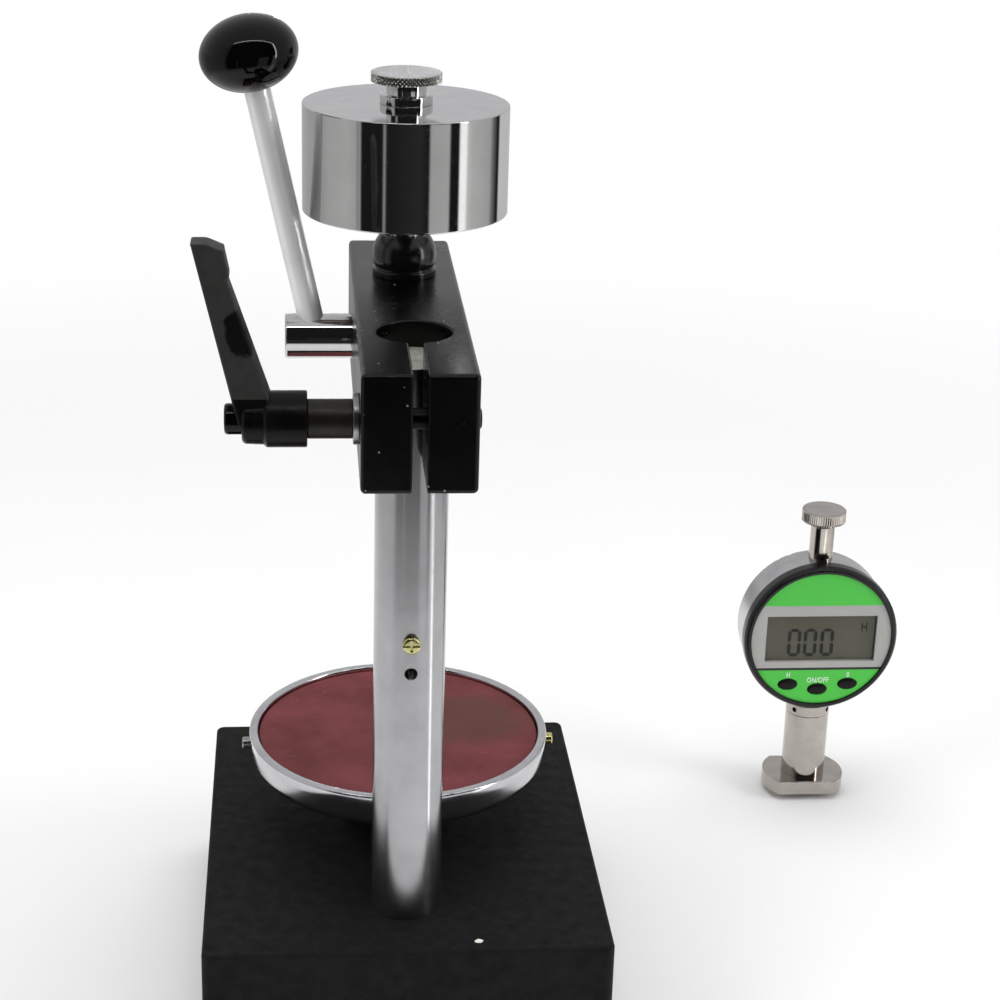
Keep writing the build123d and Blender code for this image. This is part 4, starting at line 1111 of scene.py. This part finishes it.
@dataclass
class Lever:
    """Pinion shaft with the chromed lever and its black knob.

    `count` is the number of teeth, `gear` half their length; `groove_x`, `groove` and `groove_deep` are
    the middle, half width and depth of the keeper's groove.
    """

    radius: float = 7.0
    outer: float = -37.5
    inner: float = 12.0
    root: float = -28.2
    tilt: float = 12.5
    rod: float = 4.0
    reach: float = 90.0
    entry: float = 8.0
    knob_r: float = 15.0
    knob_h: float = 11.5
    neck_r: float = 4.6
    count: int = 12
    gear: float = 7.001
    groove_x: float = 12.0
    groove: float = 1.05
    groove_deep: float = 1.2

    def teeth(self, angle: np.ndarray, height: np.ndarray, radius: np.ndarray) -> np.ndarray:
        """Depth of the tooth spaces, a rounded wave for each tooth, and of the keeper's groove.

        Args:
            angle: angle round the shaft.
            height: place along it, in metres.
            radius: the plain radius, in metres.

        Returns:
            The radius to add, in metres.
        """
        outside = radius > (self.radius - 1) * MM
        zone = outside & (np.abs(height + self.outer * MM) <= self.gear * MM)
        groove = outside & (np.abs(height + (self.outer + self.groove_x) * MM) < self.groove * MM)
        wave = np.clip(0.5 - 1.6 * np.cos(self.count * angle), 0, 1) * TOOTH * MM
        return -np.where(zone, wave, 0) - np.where(groove, self.groove_deep * MM, 0)

    def build(self) -> list[Piece]:
        """Makes the shaft, the lever and the knob.

        Returns:
            The pieces.
        """
        length = self.inner - self.outer
        # Pairs of rows at each end of the keeper's groove and of the teeth.
        stops = np.array([24.45, 24.46, 26.54, 26.55, 30.49, 30.5, 44.5, 44.51])
        body = np.column_stack([np.full(len(stops), self.radius), stops]) * MM
        head = rounded([(0, 0, 0), (self.radius, 0, 0.9), (self.radius, 3, 0)])
        tail = rounded([(self.radius, length - 3, 0), (self.radius, length, 0.9), (0, length, 0)])
        shaft = turned("pinion_hub", np.vstack([head[:-1], body, tail[1:]]), (self.outer, PINION_Y, SHAFT_Z),
                       Way.RIGHT, 192, relief=self.teeth)
        foot = (self.root, PINION_Y, SHAFT_Z)
        bar = turned("lever_bar", rod(self.rod, 0, self.reach + self.entry, 0.6, 0.5), foot, steps=128,
                     lean=self.tilt)
        return [dress(shaft, "pinion_shaft", "chrome"), dress(bar, "lever_rod", "dull_plate"),
                self.knob(foot)]

    def knob(self, foot: Spot) -> Piece:
        """Flattened ball: radius knob_r cos(t) and height knob_h sin(t), bored for the lever.

        Args:
            foot: the lever's root.

        Returns:
            The piece.
        """
        turn = np.linspace(-math.acos(self.neck_r / self.knob_r), math.pi / 2, 72)
        ball = np.column_stack([self.knob_r * np.cos(turn), self.reach + self.knob_h * np.sin(turn)])
        end, bore = self.reach + self.entry, self.rod + 0.02
        neck = np.array([(0, end), (bore, end), (bore, ball[0, 1] + 0.1)])
        made = turned("lever_ball", np.vstack([neck, ball]) * MM, foot, steps=160, lean=self.tilt)
        return dress(made, "lever_knob", "gloss")


@dataclass
class Load:
    """Ground spindle with its rack, the chromed weight and the knurled knob on top."""

    low: float = 192.5
    spindle: float = 6.0
    socket_r: float = 3.4
    socket_z: float = 14.0
    rack_flat: float = 5.0
    rack_low: float = 212.0
    rack_high: float = 240.28
    stud_h: float = 39.3
    weight_z: float = 261.0
    weight_r: float = 32.0
    weight_h: float = 33.5
    knob_r: float = 11.0
    knob_h: float = 9.6
    rim_z: float = 6.7
    ridges: int = 54
    knurl_deep: float = 0.55

    def rack(self, angle: np.ndarray, height: np.ndarray, radius: np.ndarray) -> np.ndarray:
        """Cuts the flat and its teeth: the radius is held to (flat - depth) / sin for directions to the rear.

        Args:
            angle: angle round the spindle.
            height: place along it, in metres.
            radius: the plain radius, in metres.

        Returns:
            The radius to add, in metres.
        """
        z = height / MM + self.low
        zone = (z > self.rack_low) & (z < self.rack_high) & (radius > self.rack_flat * MM)
        wave = np.clip(0.5 + 1.5 * np.cos(2 * (z - SHAFT_Z)), 0, 1) * TOOTH
        held = np.minimum(radius, (self.rack_flat - wave) * MM / np.maximum(-np.sin(angle), 0.05))
        return np.where(zone, held - radius, 0)

    def knurl(self, angle: np.ndarray, height: np.ndarray, radius: np.ndarray) -> np.ndarray:
        """Diamond knurl: the deeper of two triangle waves that wind opposite ways round the rim.

        Args:
            angle: angle round the knob.
            height: level over its underside, in metres.
            radius: the plain radius, in metres.

        Returns:
            The radius to add, in metres.
        """
        z = height / MM
        band = rim_band(z, radius, 6.75, 9.3, fade=0.2, inner=10.8)
        turns, climb = angle * self.ridges / CIRCLE, z * self.ridges / (CIRCLE * self.knob_r)
        one, two = (np.abs((turns + way * climb) % 1 - 0.5) * 2 for way in (1, -1))
        return -self.knurl_deep * MM * band * np.maximum(one, two) ** 1.2

    def build(self) -> list[Piece]:
        """Makes the spindle, the weight and the knob.

        Returns:
            The pieces.
        """
        tall, r, stud = self.weight_z - self.low, self.spindle, 4.0
        end = tall + self.stud_h
        lower = rounded([(0, self.socket_z, 0), (self.socket_r, self.socket_z, 0), (self.socket_r, 0, 0.3),
                         (r, 0, 0.6), (r, self.socket_z + 1, 0)])
        toothed = wall(r, 18.9, 48.2, 180)
        upper = rounded([(r, 52, 0), (r, tall, 0.6), (stud, tall, 0), (stud, end, 0.3), (0, end, 0)])
        bar = turned("spindle_bar", np.vstack([lower, toothed, upper]), (0, 0, self.low), steps=180,
                     relief=self.rack)
        disc = turned("weight_disc", tube(stud + 0.05, self.weight_r, self.weight_h, 0.1, 0.5, 0.45),
                      (0, 0, self.weight_z), steps=256, ring=True)
        dress(bar, "spindle", "ground")
        dress(disc, "weight", "chrome", "chrome_top")
        flat_ends(disc)
        return [bar, disc, self.knob()]

    def knob(self) -> Piece:
        """The knob, whose knurled rim and top each have their own finish.

        Returns:
            The piece.
        """
        foot, bore = self.weight_z + self.weight_h, 6.2
        rim = wall(self.knob_r, self.rim_z, 9.35, 44)
        start = rounded([(4.03, bore, 0), (4.03, 0, 0.1), (8.2, 0, 0.2), (8.2, 2.8, 0.35), (6.2, 2.8, 0.25),
                         (6.2, 6.6, 0.2), (10.6, 6.6, 0)])
        end = rounded([(10.7, self.knob_h, 0), (0, self.knob_h, 0)])
        knob = turned("weight_knob_knurl", np.vstack([[[0, bore * MM]], start, rim, end]), (0, 0, foot),
                      steps=self.ridges * 8, relief=self.knurl)
        dress(knob, "weight_knob", "chrome", "knurl", "satin_chrome")
        spots = face_vectors(knob, "center") / MM
        reach, rise = np.hypot(spots[:, 0], spots[:, 1]), spots[:, 2] - foot
        plated = np.where((rise > self.rim_z) & (reach > self.knob_r - 0.8), 1, 0)
        share_out(knob, np.where(rise > self.knob_h - 0.01, 2, plated))
        return knob


# ---- the durometer ---------------------------------------------------------------------------
@dataclass
class Gauge:
    """Digital durometer: round case with a printed face, barrel, foot, stem and thumb knob."""

    case_r: float = 29.0
    bezel_r: float = 30.0
    face_r: float = 27.4
    film_y: float = -12.2
    segment_y: float = -10.72
    ink_y: float = -12.23
    stem_z: float = 97.04
    thumb_z: float = 114.04
    ring_z: float = 35.14
    collar_z: float = 11.14
    foot_z: float = 8.34
    foot_r: float = 16.0
    flat: float = 11.4
    proud: float = 2.54
    rod: float = 1.5
    flutes: int = 60
    flute_deep: float = 0.26
    keys: dict[str, tuple[float, float]] = field(default_factory=lambda: {
        "hold": (-11.8, -19.2), "power": (0.0, -21.4), "zero": (11.8, -19.2)})

    def by(self, x: float, y: float, z: float) -> Spot:
        """A place beside the gauge's axis."""
        return (GAUGE_X + x, GAUGE_Y + y, z)

    def at(self, x: float, y: float, z: float) -> Spot:
        """The same place in metres."""
        return tuple(v * MM for v in self.by(x, y, z))

    def build(self) -> list[Piece]:
        """Makes every piece of the durometer.

        Returns:
            The pieces.
        """
        return [*self.body(), *self.face(), *self.marks(), *self.measuring_end(), self.spring(), self.thumb()]

    def body(self) -> list[Piece]:
        """Makes the case with its neck and stem, and the bezel.

        Returns:
            The pieces.
        """
        shell = turned("case_shell", rod(self.case_r, 0, 17.5, 0.2, 3.6), self.by(0, -7, DIAL_Z), Way.BACK,
                       224, fine=12)
        carve(shell, [turned("well", rod(12.53, 1, -1.5), self.by(0, 10.5, DIAL_Z - 8), Way.BACK, 128)])
        neck = turned("case_neck", stepped(1.6, 6, 0, 4, 9, under=0.1), self.by(0, 0, self.ring_z))
        stem = turned("case_stem", stepped(4.6, 0, 17, 3, 21.5, shoulder=0.3, edge=0.3),
                      self.by(0, 0, self.stem_z), steps=112)
        deep, step, inner = 6, 2.4, 26.6
        ring = turned("bezel_ring", [(self.face_r, 0, 0.35), (self.bezel_r - 1.2, 0, 0.5),
                                     (self.bezel_r, 1.5, 1), (self.bezel_r, deep, 0.2), (inner, deep, 0),
                                     (inner, step, 0), (self.face_r, step, 0)],
                      self.by(0, -13, DIAL_Z), Way.BACK, 224, ring=True)
        add_to(neck, "gauge_case", "satin")
        add_to(stem, "gauge_case", "satin")
        return [dress(shell, "gauge_case", "case"), neck, stem, dress(ring, "gauge_bezel", "bezel")]

    def face(self) -> list[Piece]:
        """Makes the printed plate, the pane and the keys.

        Returns:
            The pieces.
        """
        plate = turned("face_film", rod(self.face_r - 0.02, 0, 1.6), self.by(0, self.film_y, DIAL_Z),
                       Way.BACK, 224)
        through = [(0, -1), (1, -1), (1, 3), (0, 3)]
        carve(plate, [self.slab("cut", 21.6, 9.6, -13.5, -9.5, 0.3),
                      *[self.oval("cut", key, 0.15, through) for key in self.keys]])
        pane = self.slab("display_pane", 21.55, 9.55, -11.4, -10.78, 0.25)
        crown = [(0, 2.2), (1, 2.2), (1.0, 0.25), (0.97, 0.08), (0.9, -0.18), (0.8, -0.34), (0.6, -0.5),
                 (0.35, -0.6), (0, -0.64)]
        return [dress(plate, "face_plate", "film"), dress(pane, "display_window", "pane"),
                *[dress(self.oval(f"key_{key}", key, 0, crown), f"button_{key}", "key") for key in self.keys]]

    def slab(self, name: str, half_x: float, half_z: float, front: float, back: float,
             corner: float) -> Piece:
        """A round-cornered rectangle on the face, between two depths.

        Args:
            name: the piece's name.
            half_x: half its width.
            half_z: half its height.
            front: its front, from the gauge's axis.
            back: its back.
            corner: radius of its corners.

        Returns:
            The piece.
        """
        x, z = round_cornered(half_x, half_z, corner, 32)
        rows = [np.stack([GAUGE_X + x, np.full_like(x, GAUGE_Y + y), DIAL_Z + z], axis=-1)
                for y in (front, back)]
        return skin(name, np.stack(rows) * MM, caps=True)

    def oval(self, name: str, key: str, grow: float, rows: Corners) -> Piece:
        """An oval key: at each row the section is the oval times the row's share.

        Args:
            name: the piece's name.
            key: which key.
            grow: what to add to the oval's half widths.
            rows: (share, depth) of each row.

        Returns:
            The piece.
        """
        (x, z), (share, depth), half_x, half_z = self.keys[key], np.array(rows).T[..., None], 3.8, 2.35
        x = GAUGE_X + x + share * (half_x + grow) * np.cos(around(72))
        z = DIAL_Z + z + share * (half_z + grow) * np.sin(around(72))
        return skin(name, np.stack([x, GAUGE_Y + self.film_y + depth + 0 * x, z], axis=-1) * MM)

    def marks(self) -> list[Piece]:
        """Makes the digits and the plain marks.

        Returns:
            The pieces.
        """
        made = [add_to(self.digits(), "display", "segment")]
        for name, text, x, y, z, high, node, finish in (
                ("mark_h_right_36", "H", 17.0, self.segment_y, 4.1, 3.6, "display", "segment"),
                ("mark_h_left_21", "H", -11.8, self.ink_y, -15.4, 2.1, "face_plate", "ink"),
                ("mark_on_off_middle_21", "ON/OFF", 0.0, self.ink_y, -17.6, 2.1, "face_plate", "ink"),
                ("mark_0_right_21", "0", 11.8, self.ink_y, -15.4, 2.1, "face_plate", "ink")):
            mark = self.lettering(name, text, self.at(x, y, DIAL_Z + z), high)
            made.append(add_to(mark, node, finish))
        return made

    def digits(self) -> Piece:
        """Three noughts of six bars each; a bar is a hexagon along its line.

        Returns:
            The piece.
        """
        half, tall, stroke, gap, low, thick, sides = 1.95, 5.2, 0.7, 0.18, -2.1, 0.06, 6
        ends = np.array([(-half, tall), (half, tall), (half, 0), (half, -tall), (-half, -tall), (-half, 0)])
        points, faces, ring = [], [], np.arange(sides)
        for middle in (-10.2, -3.9, 2.7):
            for a, b in zip(ends, np.roll(ends, -1, 0)):
                run = (b - a) / np.linalg.norm(b - a)
                a, b = a + run * gap, b - run * gap
                side, run = np.array([-run[1], run[0]]) * stroke, run * stroke
                hexagon = np.array([a, a + run + side, b - run + side, b, b - run - side, a + run - side])
                x, z = (hexagon + [GAUGE_X + middle, DIAL_Z + low]).T
                front = ring + len(points) * sides
                back = front + sides
                for depth in (self.segment_y, self.segment_y + thick):
                    points.append(np.column_stack([x, np.full(sides, GAUGE_Y + depth), z]))
                faces += [front.tolist(), back[::-1].tolist()]
                faces += np.stack([front, np.roll(front, -1), np.roll(back, -1), back], axis=-1).tolist()
        return solid("display_digits", np.concatenate(points) * MM, faces)

    def lettering(self, name: str, text: str, at: Spot, high: float) -> Piece:
        """Plain marks on the face, as thin raised shapes.

        Args:
            name: the piece's name.
            text: what is shown.
            at: its middle, in metres.
            high: height of a capital.

        Returns:
            The piece.
        """
        curve = bpy.data.curves.new("mark", "FONT")
        curve.body, curve.align_x, curve.align_y = text, "CENTER", "CENTER"
        curve.size, curve.extrude, curve.offset, curve.space_character = 1.0, 0.01, 0.014, 1.12
        curve.resolution_u = 4
        draft = bpy.data.objects.new("mark", curve)
        bpy.context.scene.collection.objects.link(draft)
        bpy.context.view_layer.update()
        mesh = bpy.data.meshes.new_from_object(draft.evaluated_get(bpy.context.evaluated_depsgraph_get()))
        bpy.data.objects.remove(draft)
        capital, narrow, thick = 0.69, 0.72, 3 * MM
        scale = high / capital * MM
        mesh.transform(Matrix.Translation(at) @ Matrix.Rotation(math.pi / 2, 4, "X")
                       @ Matrix.Diagonal((narrow * scale, scale, thick, 1)))
        return placed(name, mesh)

    def measuring_end(self) -> list[Piece]:
        """Makes the collar with its two holes, the barrel, the foot and the indenter.

        Returns:
            The pieces.
        """
        ring = turned("collar_ring", tube(4.02, 8.6, 4.5, 0, 0.35, 0.35), self.by(0, 0, self.ring_z),
                      steps=160, ring=True)
        holes = []
        for side in (-1, 1):
            drill = turned("drill", rod(1.02, 0, 5), (0, 0, 0), steps=40)
            drill.data.transform(Matrix.Translation(self.at(0, 0, self.ring_z + 2.25))
                                 @ Matrix.Rotation(math.radians(side * 50 - 90), 4, "Z")
                                 @ Matrix.Rotation(math.pi / 2, 4, "Y") @ Matrix.Translation((0, 0, 6 * MM)))
            holes.append(drill)
        carve(ring, holes)
        inner, outer, floor, guide, tall = 5.6, 8.5, 1.2, 1.6, self.ring_z - self.foot_z
        barrel = turned("barrel_tube", [(inner, floor, 0), (guide, floor, 0), (guide, 0, 0), (outer, 0, 0.2),
                                        (outer, tall, 0.2), (inner, tall, 0)],
                        self.by(0, 0, self.foot_z), steps=160, ring=True)
        x, y = self.foot_r * np.cos(around(144)), self.foot_r * np.sin(around(144))
        plan = np.column_stack([GAUGE_X + x, GAUGE_Y + np.clip(y, -self.flat, self.flat)])
        foot = outline_prism("foot_plate", plan, self.proud, self.foot_z)
        soften(foot, 0.4, 3, Edges.SHARP)
        carve(foot, [turned("bore", stepped(2.64, -1, 5.4, guide, 7), self.by(0, 0, self.proud), steps=64)])
        arc = np.linspace(-math.pi / 2, math.acos(self.rod / self.proud), 32)
        tip = np.column_stack([self.proud * np.cos(arc), self.proud + self.proud * np.sin(arc)]) * MM
        collar, low, high, end = 5.3, self.collar_z - 1.6, self.collar_z, 38.1
        shank = rounded([(self.rod, 4.7, 0), (self.rod, low, 0), (collar, low, 0.2), (collar, high, 0.2),
                         (self.rod, high, 0), (self.rod, end, 0.3), (0, end, 0)])
        ball = turned("indenter_ball", np.vstack([tip, shank]), self.by(0, 0, 0))
        return [dress(ring, "barrel_ring", "satin"), dress(barrel, "barrel", "satin"),
                dress(foot, "presser_foot", "satin"), dress(ball, "indenter", "chrome")]

    def spring(self) -> Piece:
        """Coil spring over the indenter's rod.

        A ring of radius w runs along the coil: its middle at turn u is (r cos u, r sin u, p u / 2 pi).

        Returns:
            The piece.
        """
        radius, wire, turns, clear = 2.7, 0.4, 7, 0.05
        tall = self.ring_z - self.collar_z
        pitch = (tall - 2 * wire - 2 * clear) / turns
        along = np.linspace(0, CIRCLE * turns, 48 * turns)[:, None]
        reach, lift = radius + wire * np.cos(around(16)), wire * np.sin(around(16))
        rise = self.collar_z + clear + wire + pitch * along / CIRCLE + lift
        spots = np.stack([GAUGE_X + reach * np.cos(along), GAUGE_Y + reach * np.sin(along), rise], axis=-1)
        piece = dress(skin("indenter_coil", spots * MM, caps=True), "indenter_spring", "plain")
        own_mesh(piece)
        return piece

    def flute(self, angle: np.ndarray, height: np.ndarray, radius: np.ndarray) -> np.ndarray:
        """Straight flutes round the thumb knob: the radius less a cosine of sixty turns.

        Args:
            angle: angle round the knob.
            height: level over its underside, in metres.
            radius: the plain radius, in metres.

        Returns:
            The radius to add, in metres.
        """
        band = rim_band(height / MM, radius, 1.85, 6.15, fade=0.3, inner=8)
        return -self.flute_deep * MM * band * (0.5 - 0.5 * np.cos(self.flutes * angle)) ** 0.8

    def thumb(self) -> Piece:
        """Makes the thumb knob, a turned cap with a fluted rim.

        Returns:
            The piece.
        """
        rim = wall(8.4, 1.8, 6.1, 14)
        under = rounded([(3.03, 0, 0.1), (4.6, 0, 0.2), (8.3, 1.75, 0)])
        top = rounded([(8.1, 6.3, 0), (7.6, 6.4, 0.1), (0, 6.4, 0)])
        inside = np.array([[0, 4.52], [3.03, 4.52]]) * MM
        cap = turned("thumb_cap", np.vstack([inside, under, rim, top]), self.by(0, 0, self.thumb_z),
                     steps=self.flutes * 8, relief=self.flute)
        return dress(cap, "thumb_knob", "satin")


@dataclass
class Works:
    """CAD pieces that keep their own meshes: the hidden screws, bushes, springs and boards."""

    finishes: dict[str, str] = field(default_factory=lambda: {
        "column_screw": "plain", "column_washer": "plain", "pedestal": "dark_steel",
        "pedestal_screw": "plain", "pedestal_washer": "plain", "seat_liner": "bronze",
        "upper_bush": "bronze", "lower_bush": "bronze", "pinion_keeper": "plain", "brake_plug": "nylon",
        "brake_screw": "dark_steel", "clamp_spring": "plain", "ring_screw_left": "dark_steel",
        "ring_screw_right": "dark_steel", "coin_cell": "plain", "cell_cover": "case", "display": "lcd",
        "circuit_board": "circuit"})

    def build(self) -> list[Piece]:
        """Gives each node its material.

        Returns:
            The nodes' objects.
        """
        for node, finish in self.finishes.items():
            materials = frame["nodes"][node].data.materials
            materials.clear()
            materials.append(coat(finish))
        return [frame["nodes"][node] for node in self.finishes]


# ---- floor, lights and camera ----------------------------------------------------------------
def grey(level: float) -> tuple[float, float, float, float]:
    """A light's colour: grey up to one, brighter than white over it."""
    return (level, level, level, 1.0)


@dataclass
class Studio:
    """Pale floor, soft lamps, white surroundings with a dark flag behind the camera, and the camera.

    Places and sizes are in metres, the camera's turns in radians and the other angles in degrees.
    `lamps` holds each lamp's name, place, aim, side and power.  `zones` holds what gloss mirrors: bearing
    from the camera's side, and brightness.  `strips` and `flag` lie on a wall one metre in front: each
    strip light's level, half height, place across and half width, and the flag's place across and half
    width.  `overhead` is where the ceiling starts on that wall.  `edge` is where the floor starts to
    fade, where it ends and where it ends for gloss; `wedge` is the bearing of its bright wedge and half
    its angle: a wedge of floor that glows for gloss only, a painted reflection.
    """

    eye: Spot = (-0.0335, -0.6789, 0.4273)
    pitch: float = 0.369
    yaw: float = 0.097
    roll: float = 0.030
    lens: float = 79.9
    edge: Spot = (0.36, 0.95, 0.6)
    # painted reflection: bearing and half angle of the glowing wedge of floor
    wedge: tuple[float, float] = (70.0, 3.0)
    wedge_power: float = 3.0
    overhead: tuple[float, float] = (1.85, 1.95)
    ceiling: tuple = (0.62, 0.62, 0.635, 1.0)
    flag: tuple[float, float] = (0.48, 1.7)
    flag_level: float = 0.012
    soft: float = 0.42
    strip_power: float = 20.0
    lamps: tuple = (("lamp_top", (0.05, 0.1, 1.5), (0, 0, 0.1), 1.3, 13.0),
                    ("lamp_left", (-1.3, -0.7, 0.9), (0, 0, 0.15), 0.8, 7.0),
                    ("lamp_right", (1.25, -0.45, 0.7), (0, 0, 0.15), 0.5, 5.0))
    zones: tuple = (
        (-180, 0.50), (-118, 0.46), (-116, 0.40), (-96, 0.52), (-70, 0.56), (-59, 0.50), (-57, 0.28),
        (-54, 0.46), (-52, 0.012), (-28, 0.014), (-25.8, 0.42), (-23.6, 0.014), (14, 0.03), (23, 0.012),
        (25, 0.50), (46, 0.54), (48, 0.012), (58, 0.012), (60, 1.4), (67, 1.4), (70, 0.75), (76, 0.62),
        (104, 0.5), (110, 0.2), (118, 0.02), (122, 0.02), (125, 0.75), (180, 0.50))
    strips: tuple = ((1.95, 0.06, 0.48, 1.9), (0.8, 1.2, 2.3, 0.15))

    def build(self) -> None:
        """Makes the whole studio."""
        self.camera()
        self.floor()
        self.surroundings()
        for lamp in self.lamps:
            self.lamp(*lamp)

    def camera(self) -> None:
        """Sets the camera from its place and its three turns."""
        level = math.cos(self.pitch)
        ahead = Vector((math.sin(self.yaw) * level, math.cos(self.yaw) * level, -math.sin(self.pitch)))
        right = Vector((math.cos(self.yaw), -math.sin(self.yaw), 0))
        up = right.cross(ahead)
        across = math.cos(self.roll) * right + math.sin(self.roll) * up
        above = -math.sin(self.roll) * right + math.cos(self.roll) * up
        data = bpy.data.cameras.new("camera")
        data.lens, data.sensor_width, data.clip_start, data.clip_end = self.lens, 36.0, 0.01, 20.0
        eye = bpy.data.objects.new("camera", data)
        turn = Matrix((across, above, -ahead)).transposed().to_4x4()
        eye.matrix_world = Matrix.Translation(self.eye) @ turn
        bpy.context.scene.collection.objects.link(eye)
        bpy.context.scene.camera = eye

    def floor(self) -> None:
        """A pale floor that fades into the white far out; gloss sees it end nearer, with one bright wedge
        that glows as a painted reflection.
        """
        rings, turn = np.array([[0.0], [0.5], [1.0], [2.0], [4.0]]), around(96)
        spots = np.stack([rings * np.cos(turn), rings * np.sin(turn), 0 * rings * turn], axis=-1)
        piece = skin("floor", spots)
        material = bpy.data.materials.new("pale_floor")
        put = emptied(material)
        place = put("TexCoord").outputs["Object"]
        reach = put("VectorMath", {0: place}, operation="LENGTH")
        glossy = put("LightPath").outputs["Is Glossy Ray"]
        start, end, glossy_end = self.edge
        limit = put("MapRange", {0: glossy, 3: end, 4: glossy_end})
        fade = put("MapRange", {0: reach, 1: start, 2: limit}, interpolation_type="SMOOTHSTEP")
        speck = put("TexNoise", {"Vector": place, "Scale": 9.0, "Detail": 2.0})
        tone = put("Mix", {0: speck, 6: linear("#f9f9f9"), 7: linear("#fcfcfc")}, data_type="RGBA")
        spot = put("SeparateXYZ", {0: place})
        ahead = put("Math", {0: spot.outputs["Y"], 1: -1.0, 2: COLUMN_Y * MM}, operation="MULTIPLY_ADD")
        bearing = put("Math", {0: spot.outputs["X"], 1: ahead}, operation="ARCTAN2")
        # painted reflection: a wedge of floor that glows, seen only by gloss rays
        middle, half = (math.radians(v) for v in self.wedge)
        wedge = put("Math", {0: bearing, 1: middle, 2: half}, operation="COMPARE")
        bright = put("Math", {0: wedge, 1: glossy}, operation="MULTIPLY")
        matt = put("MixShader", {0: bright, 1: put("BsdfDiffuse", {0: tone}),
                                 2: put("Emission", {0: grey(1.0), 1: self.wedge_power})})
        mixed = put("MixShader", {0: fade, 1: matt, 2: put("BsdfTransparent")})
        put("OutputMaterial", {"Surface": mixed})
        piece.data.materials.append(material)

    def surroundings(self) -> None:
        """White for the camera; for gloss, white with a dark flag and darker strips on the camera's side."""
        world = bpy.data.worlds.new("studio")
        bpy.context.scene.world = world
        put = emptied(world)
        ray = put("SeparateXYZ", {0: put("TexCoord").outputs["Generated"]})
        back = put("Math", {0: ray.outputs["Y"], 1: -1.0}, operation="MULTIPLY")
        bearing = put("Math", {0: ray.outputs["X"], 1: back}, operation="ARCTAN2")
        degrees = put("Math", {0: bearing, 1: 180 / math.pi}, operation="MULTIPLY")
        ramp = put("ValToRGB", {0: put("MapRange", {0: degrees, 1: -180.0, 2: 180.0})})
        self.set_zones(ramp.color_ramp)
        depth = put("Math", {0: back, 1: 0.03}, operation="MAXIMUM")
        rise = put("Math", {0: ray.outputs["Z"], 1: depth}, operation="DIVIDE")
        across = put("Math", {0: ray.outputs["X"], 1: depth}, operation="DIVIDE")
        low, high = self.overhead
        over = put("MapRange", {0: rise, 1: low, 2: high}, interpolation_type="SMOOTHSTEP")
        upper = put("Math", {0: rise, 1: 0.0}, operation="GREATER_THAN")
        middle, half = self.flag
        inside = put("Math", {0: across, 1: middle, 2: half}, operation="COMPARE")
        flag = put("Math", {0: upper, 1: inside}, operation="MULTIPLY")
        lower = put("Mix", {0: flag, 6: ramp, 7: grey(self.flag_level)}, data_type="RGBA")
        gloss = put("Mix", {0: over, 6: lower, 7: self.ceiling}, data_type="RGBA")
        lit = self.strip_lights(put, rise, across)
        gloss = put("Mix", {0: lit, 6: gloss, 7: grey(self.strip_power)}, data_type="RGBA")
        path = put("LightPath").outputs
        seen = put("Math", {0: path["Is Camera Ray"], 1: path["Is Transmission Ray"]}, operation="MAXIMUM")
        dim = put("Mix", {0: path["Is Glossy Ray"], 6: grey(self.soft), 7: gloss}, data_type="RGBA")
        whole = put("Mix", {0: seen, 6: dim, 7: grey(1.0)}, data_type="RGBA")
        put("OutputWorld", {"Surface": put("Background", {0: whole, 1: 1.0})})

    def strip_lights(self, put: Put, rise: Node, across: Node) -> Node:
        """Two thin strip lights that only gloss shows: the top and the right side of a window frame in front.

        Args:
            put: adds a node to the world's tree.
            rise: height of the ray on a wall one metre in front.
            across: its place across that wall.

        Returns:
            One on a strip and zero beside it.
        """
        masks = []
        for level, level_half, middle, middle_half in self.strips:
            near = put("Math", {0: rise, 1: level, 2: level_half}, operation="COMPARE")
            side = put("Math", {0: across, 1: middle, 2: middle_half}, operation="COMPARE")
            masks.append(put("Math", {0: near, 1: side}, operation="MULTIPLY"))
        return put("Math", {0: masks[0], 1: masks[1]}, operation="MAXIMUM")

    def set_zones(self, ramp: bpy.types.ColorRamp) -> None:
        """Sets the ramp's stops from the zones.

        Args:
            ramp: the ramp, from behind the object round to behind it again.
        """
        while len(ramp.elements) > 1:
            ramp.elements.remove(ramp.elements[-1])
        ramp.elements[0].position = 0.0
        for index, (bearing, level) in enumerate(self.zones):
            stop = ramp.elements[0] if index == 0 else ramp.elements.new((bearing + 180) / 360)
            stop.color = grey(level)

    def lamp(self, name: str, at: Spot, aim: Spot, wide: float, power: float) -> None:
        """Adds a soft square lamp.

        Args:
            name: the lamp's name.
            at: its place.
            aim: what it looks at.
            wide: its side.
            power: its power.
        """
        data = bpy.data.lights.new(name, "AREA")
        data.shape, data.size, data.energy = "SQUARE", wide, power
        lamp = bpy.data.objects.new(name, data)
        lamp.location = at
        lamp.rotation_euler = (Vector(aim) - Vector(at)).to_track_quat("-Z", "Y").to_euler()
        lamp.visible_glossy = False
        bpy.context.scene.collection.objects.link(lamp)


def main() -> None:
    """Builds the studio and every sub-assembly in order, and logs each piece's face count."""
    logging.basicConfig(level=logging.INFO, format="%(name)s %(message)s")
    bpy.context.scene.view_settings.view_transform = "Standard"
    Studio().build()
    for group in (BaseBlock(), Column(), Anvil(), Arm(), Clamp(), Lever(), Load(), Gauge(), Works()):
        for piece in group.build():
            LOG.info("%s %s %d faces", type(group).__name__, piece.name, len(piece.data.polygons))


if __name__ == "__main__":
    main()
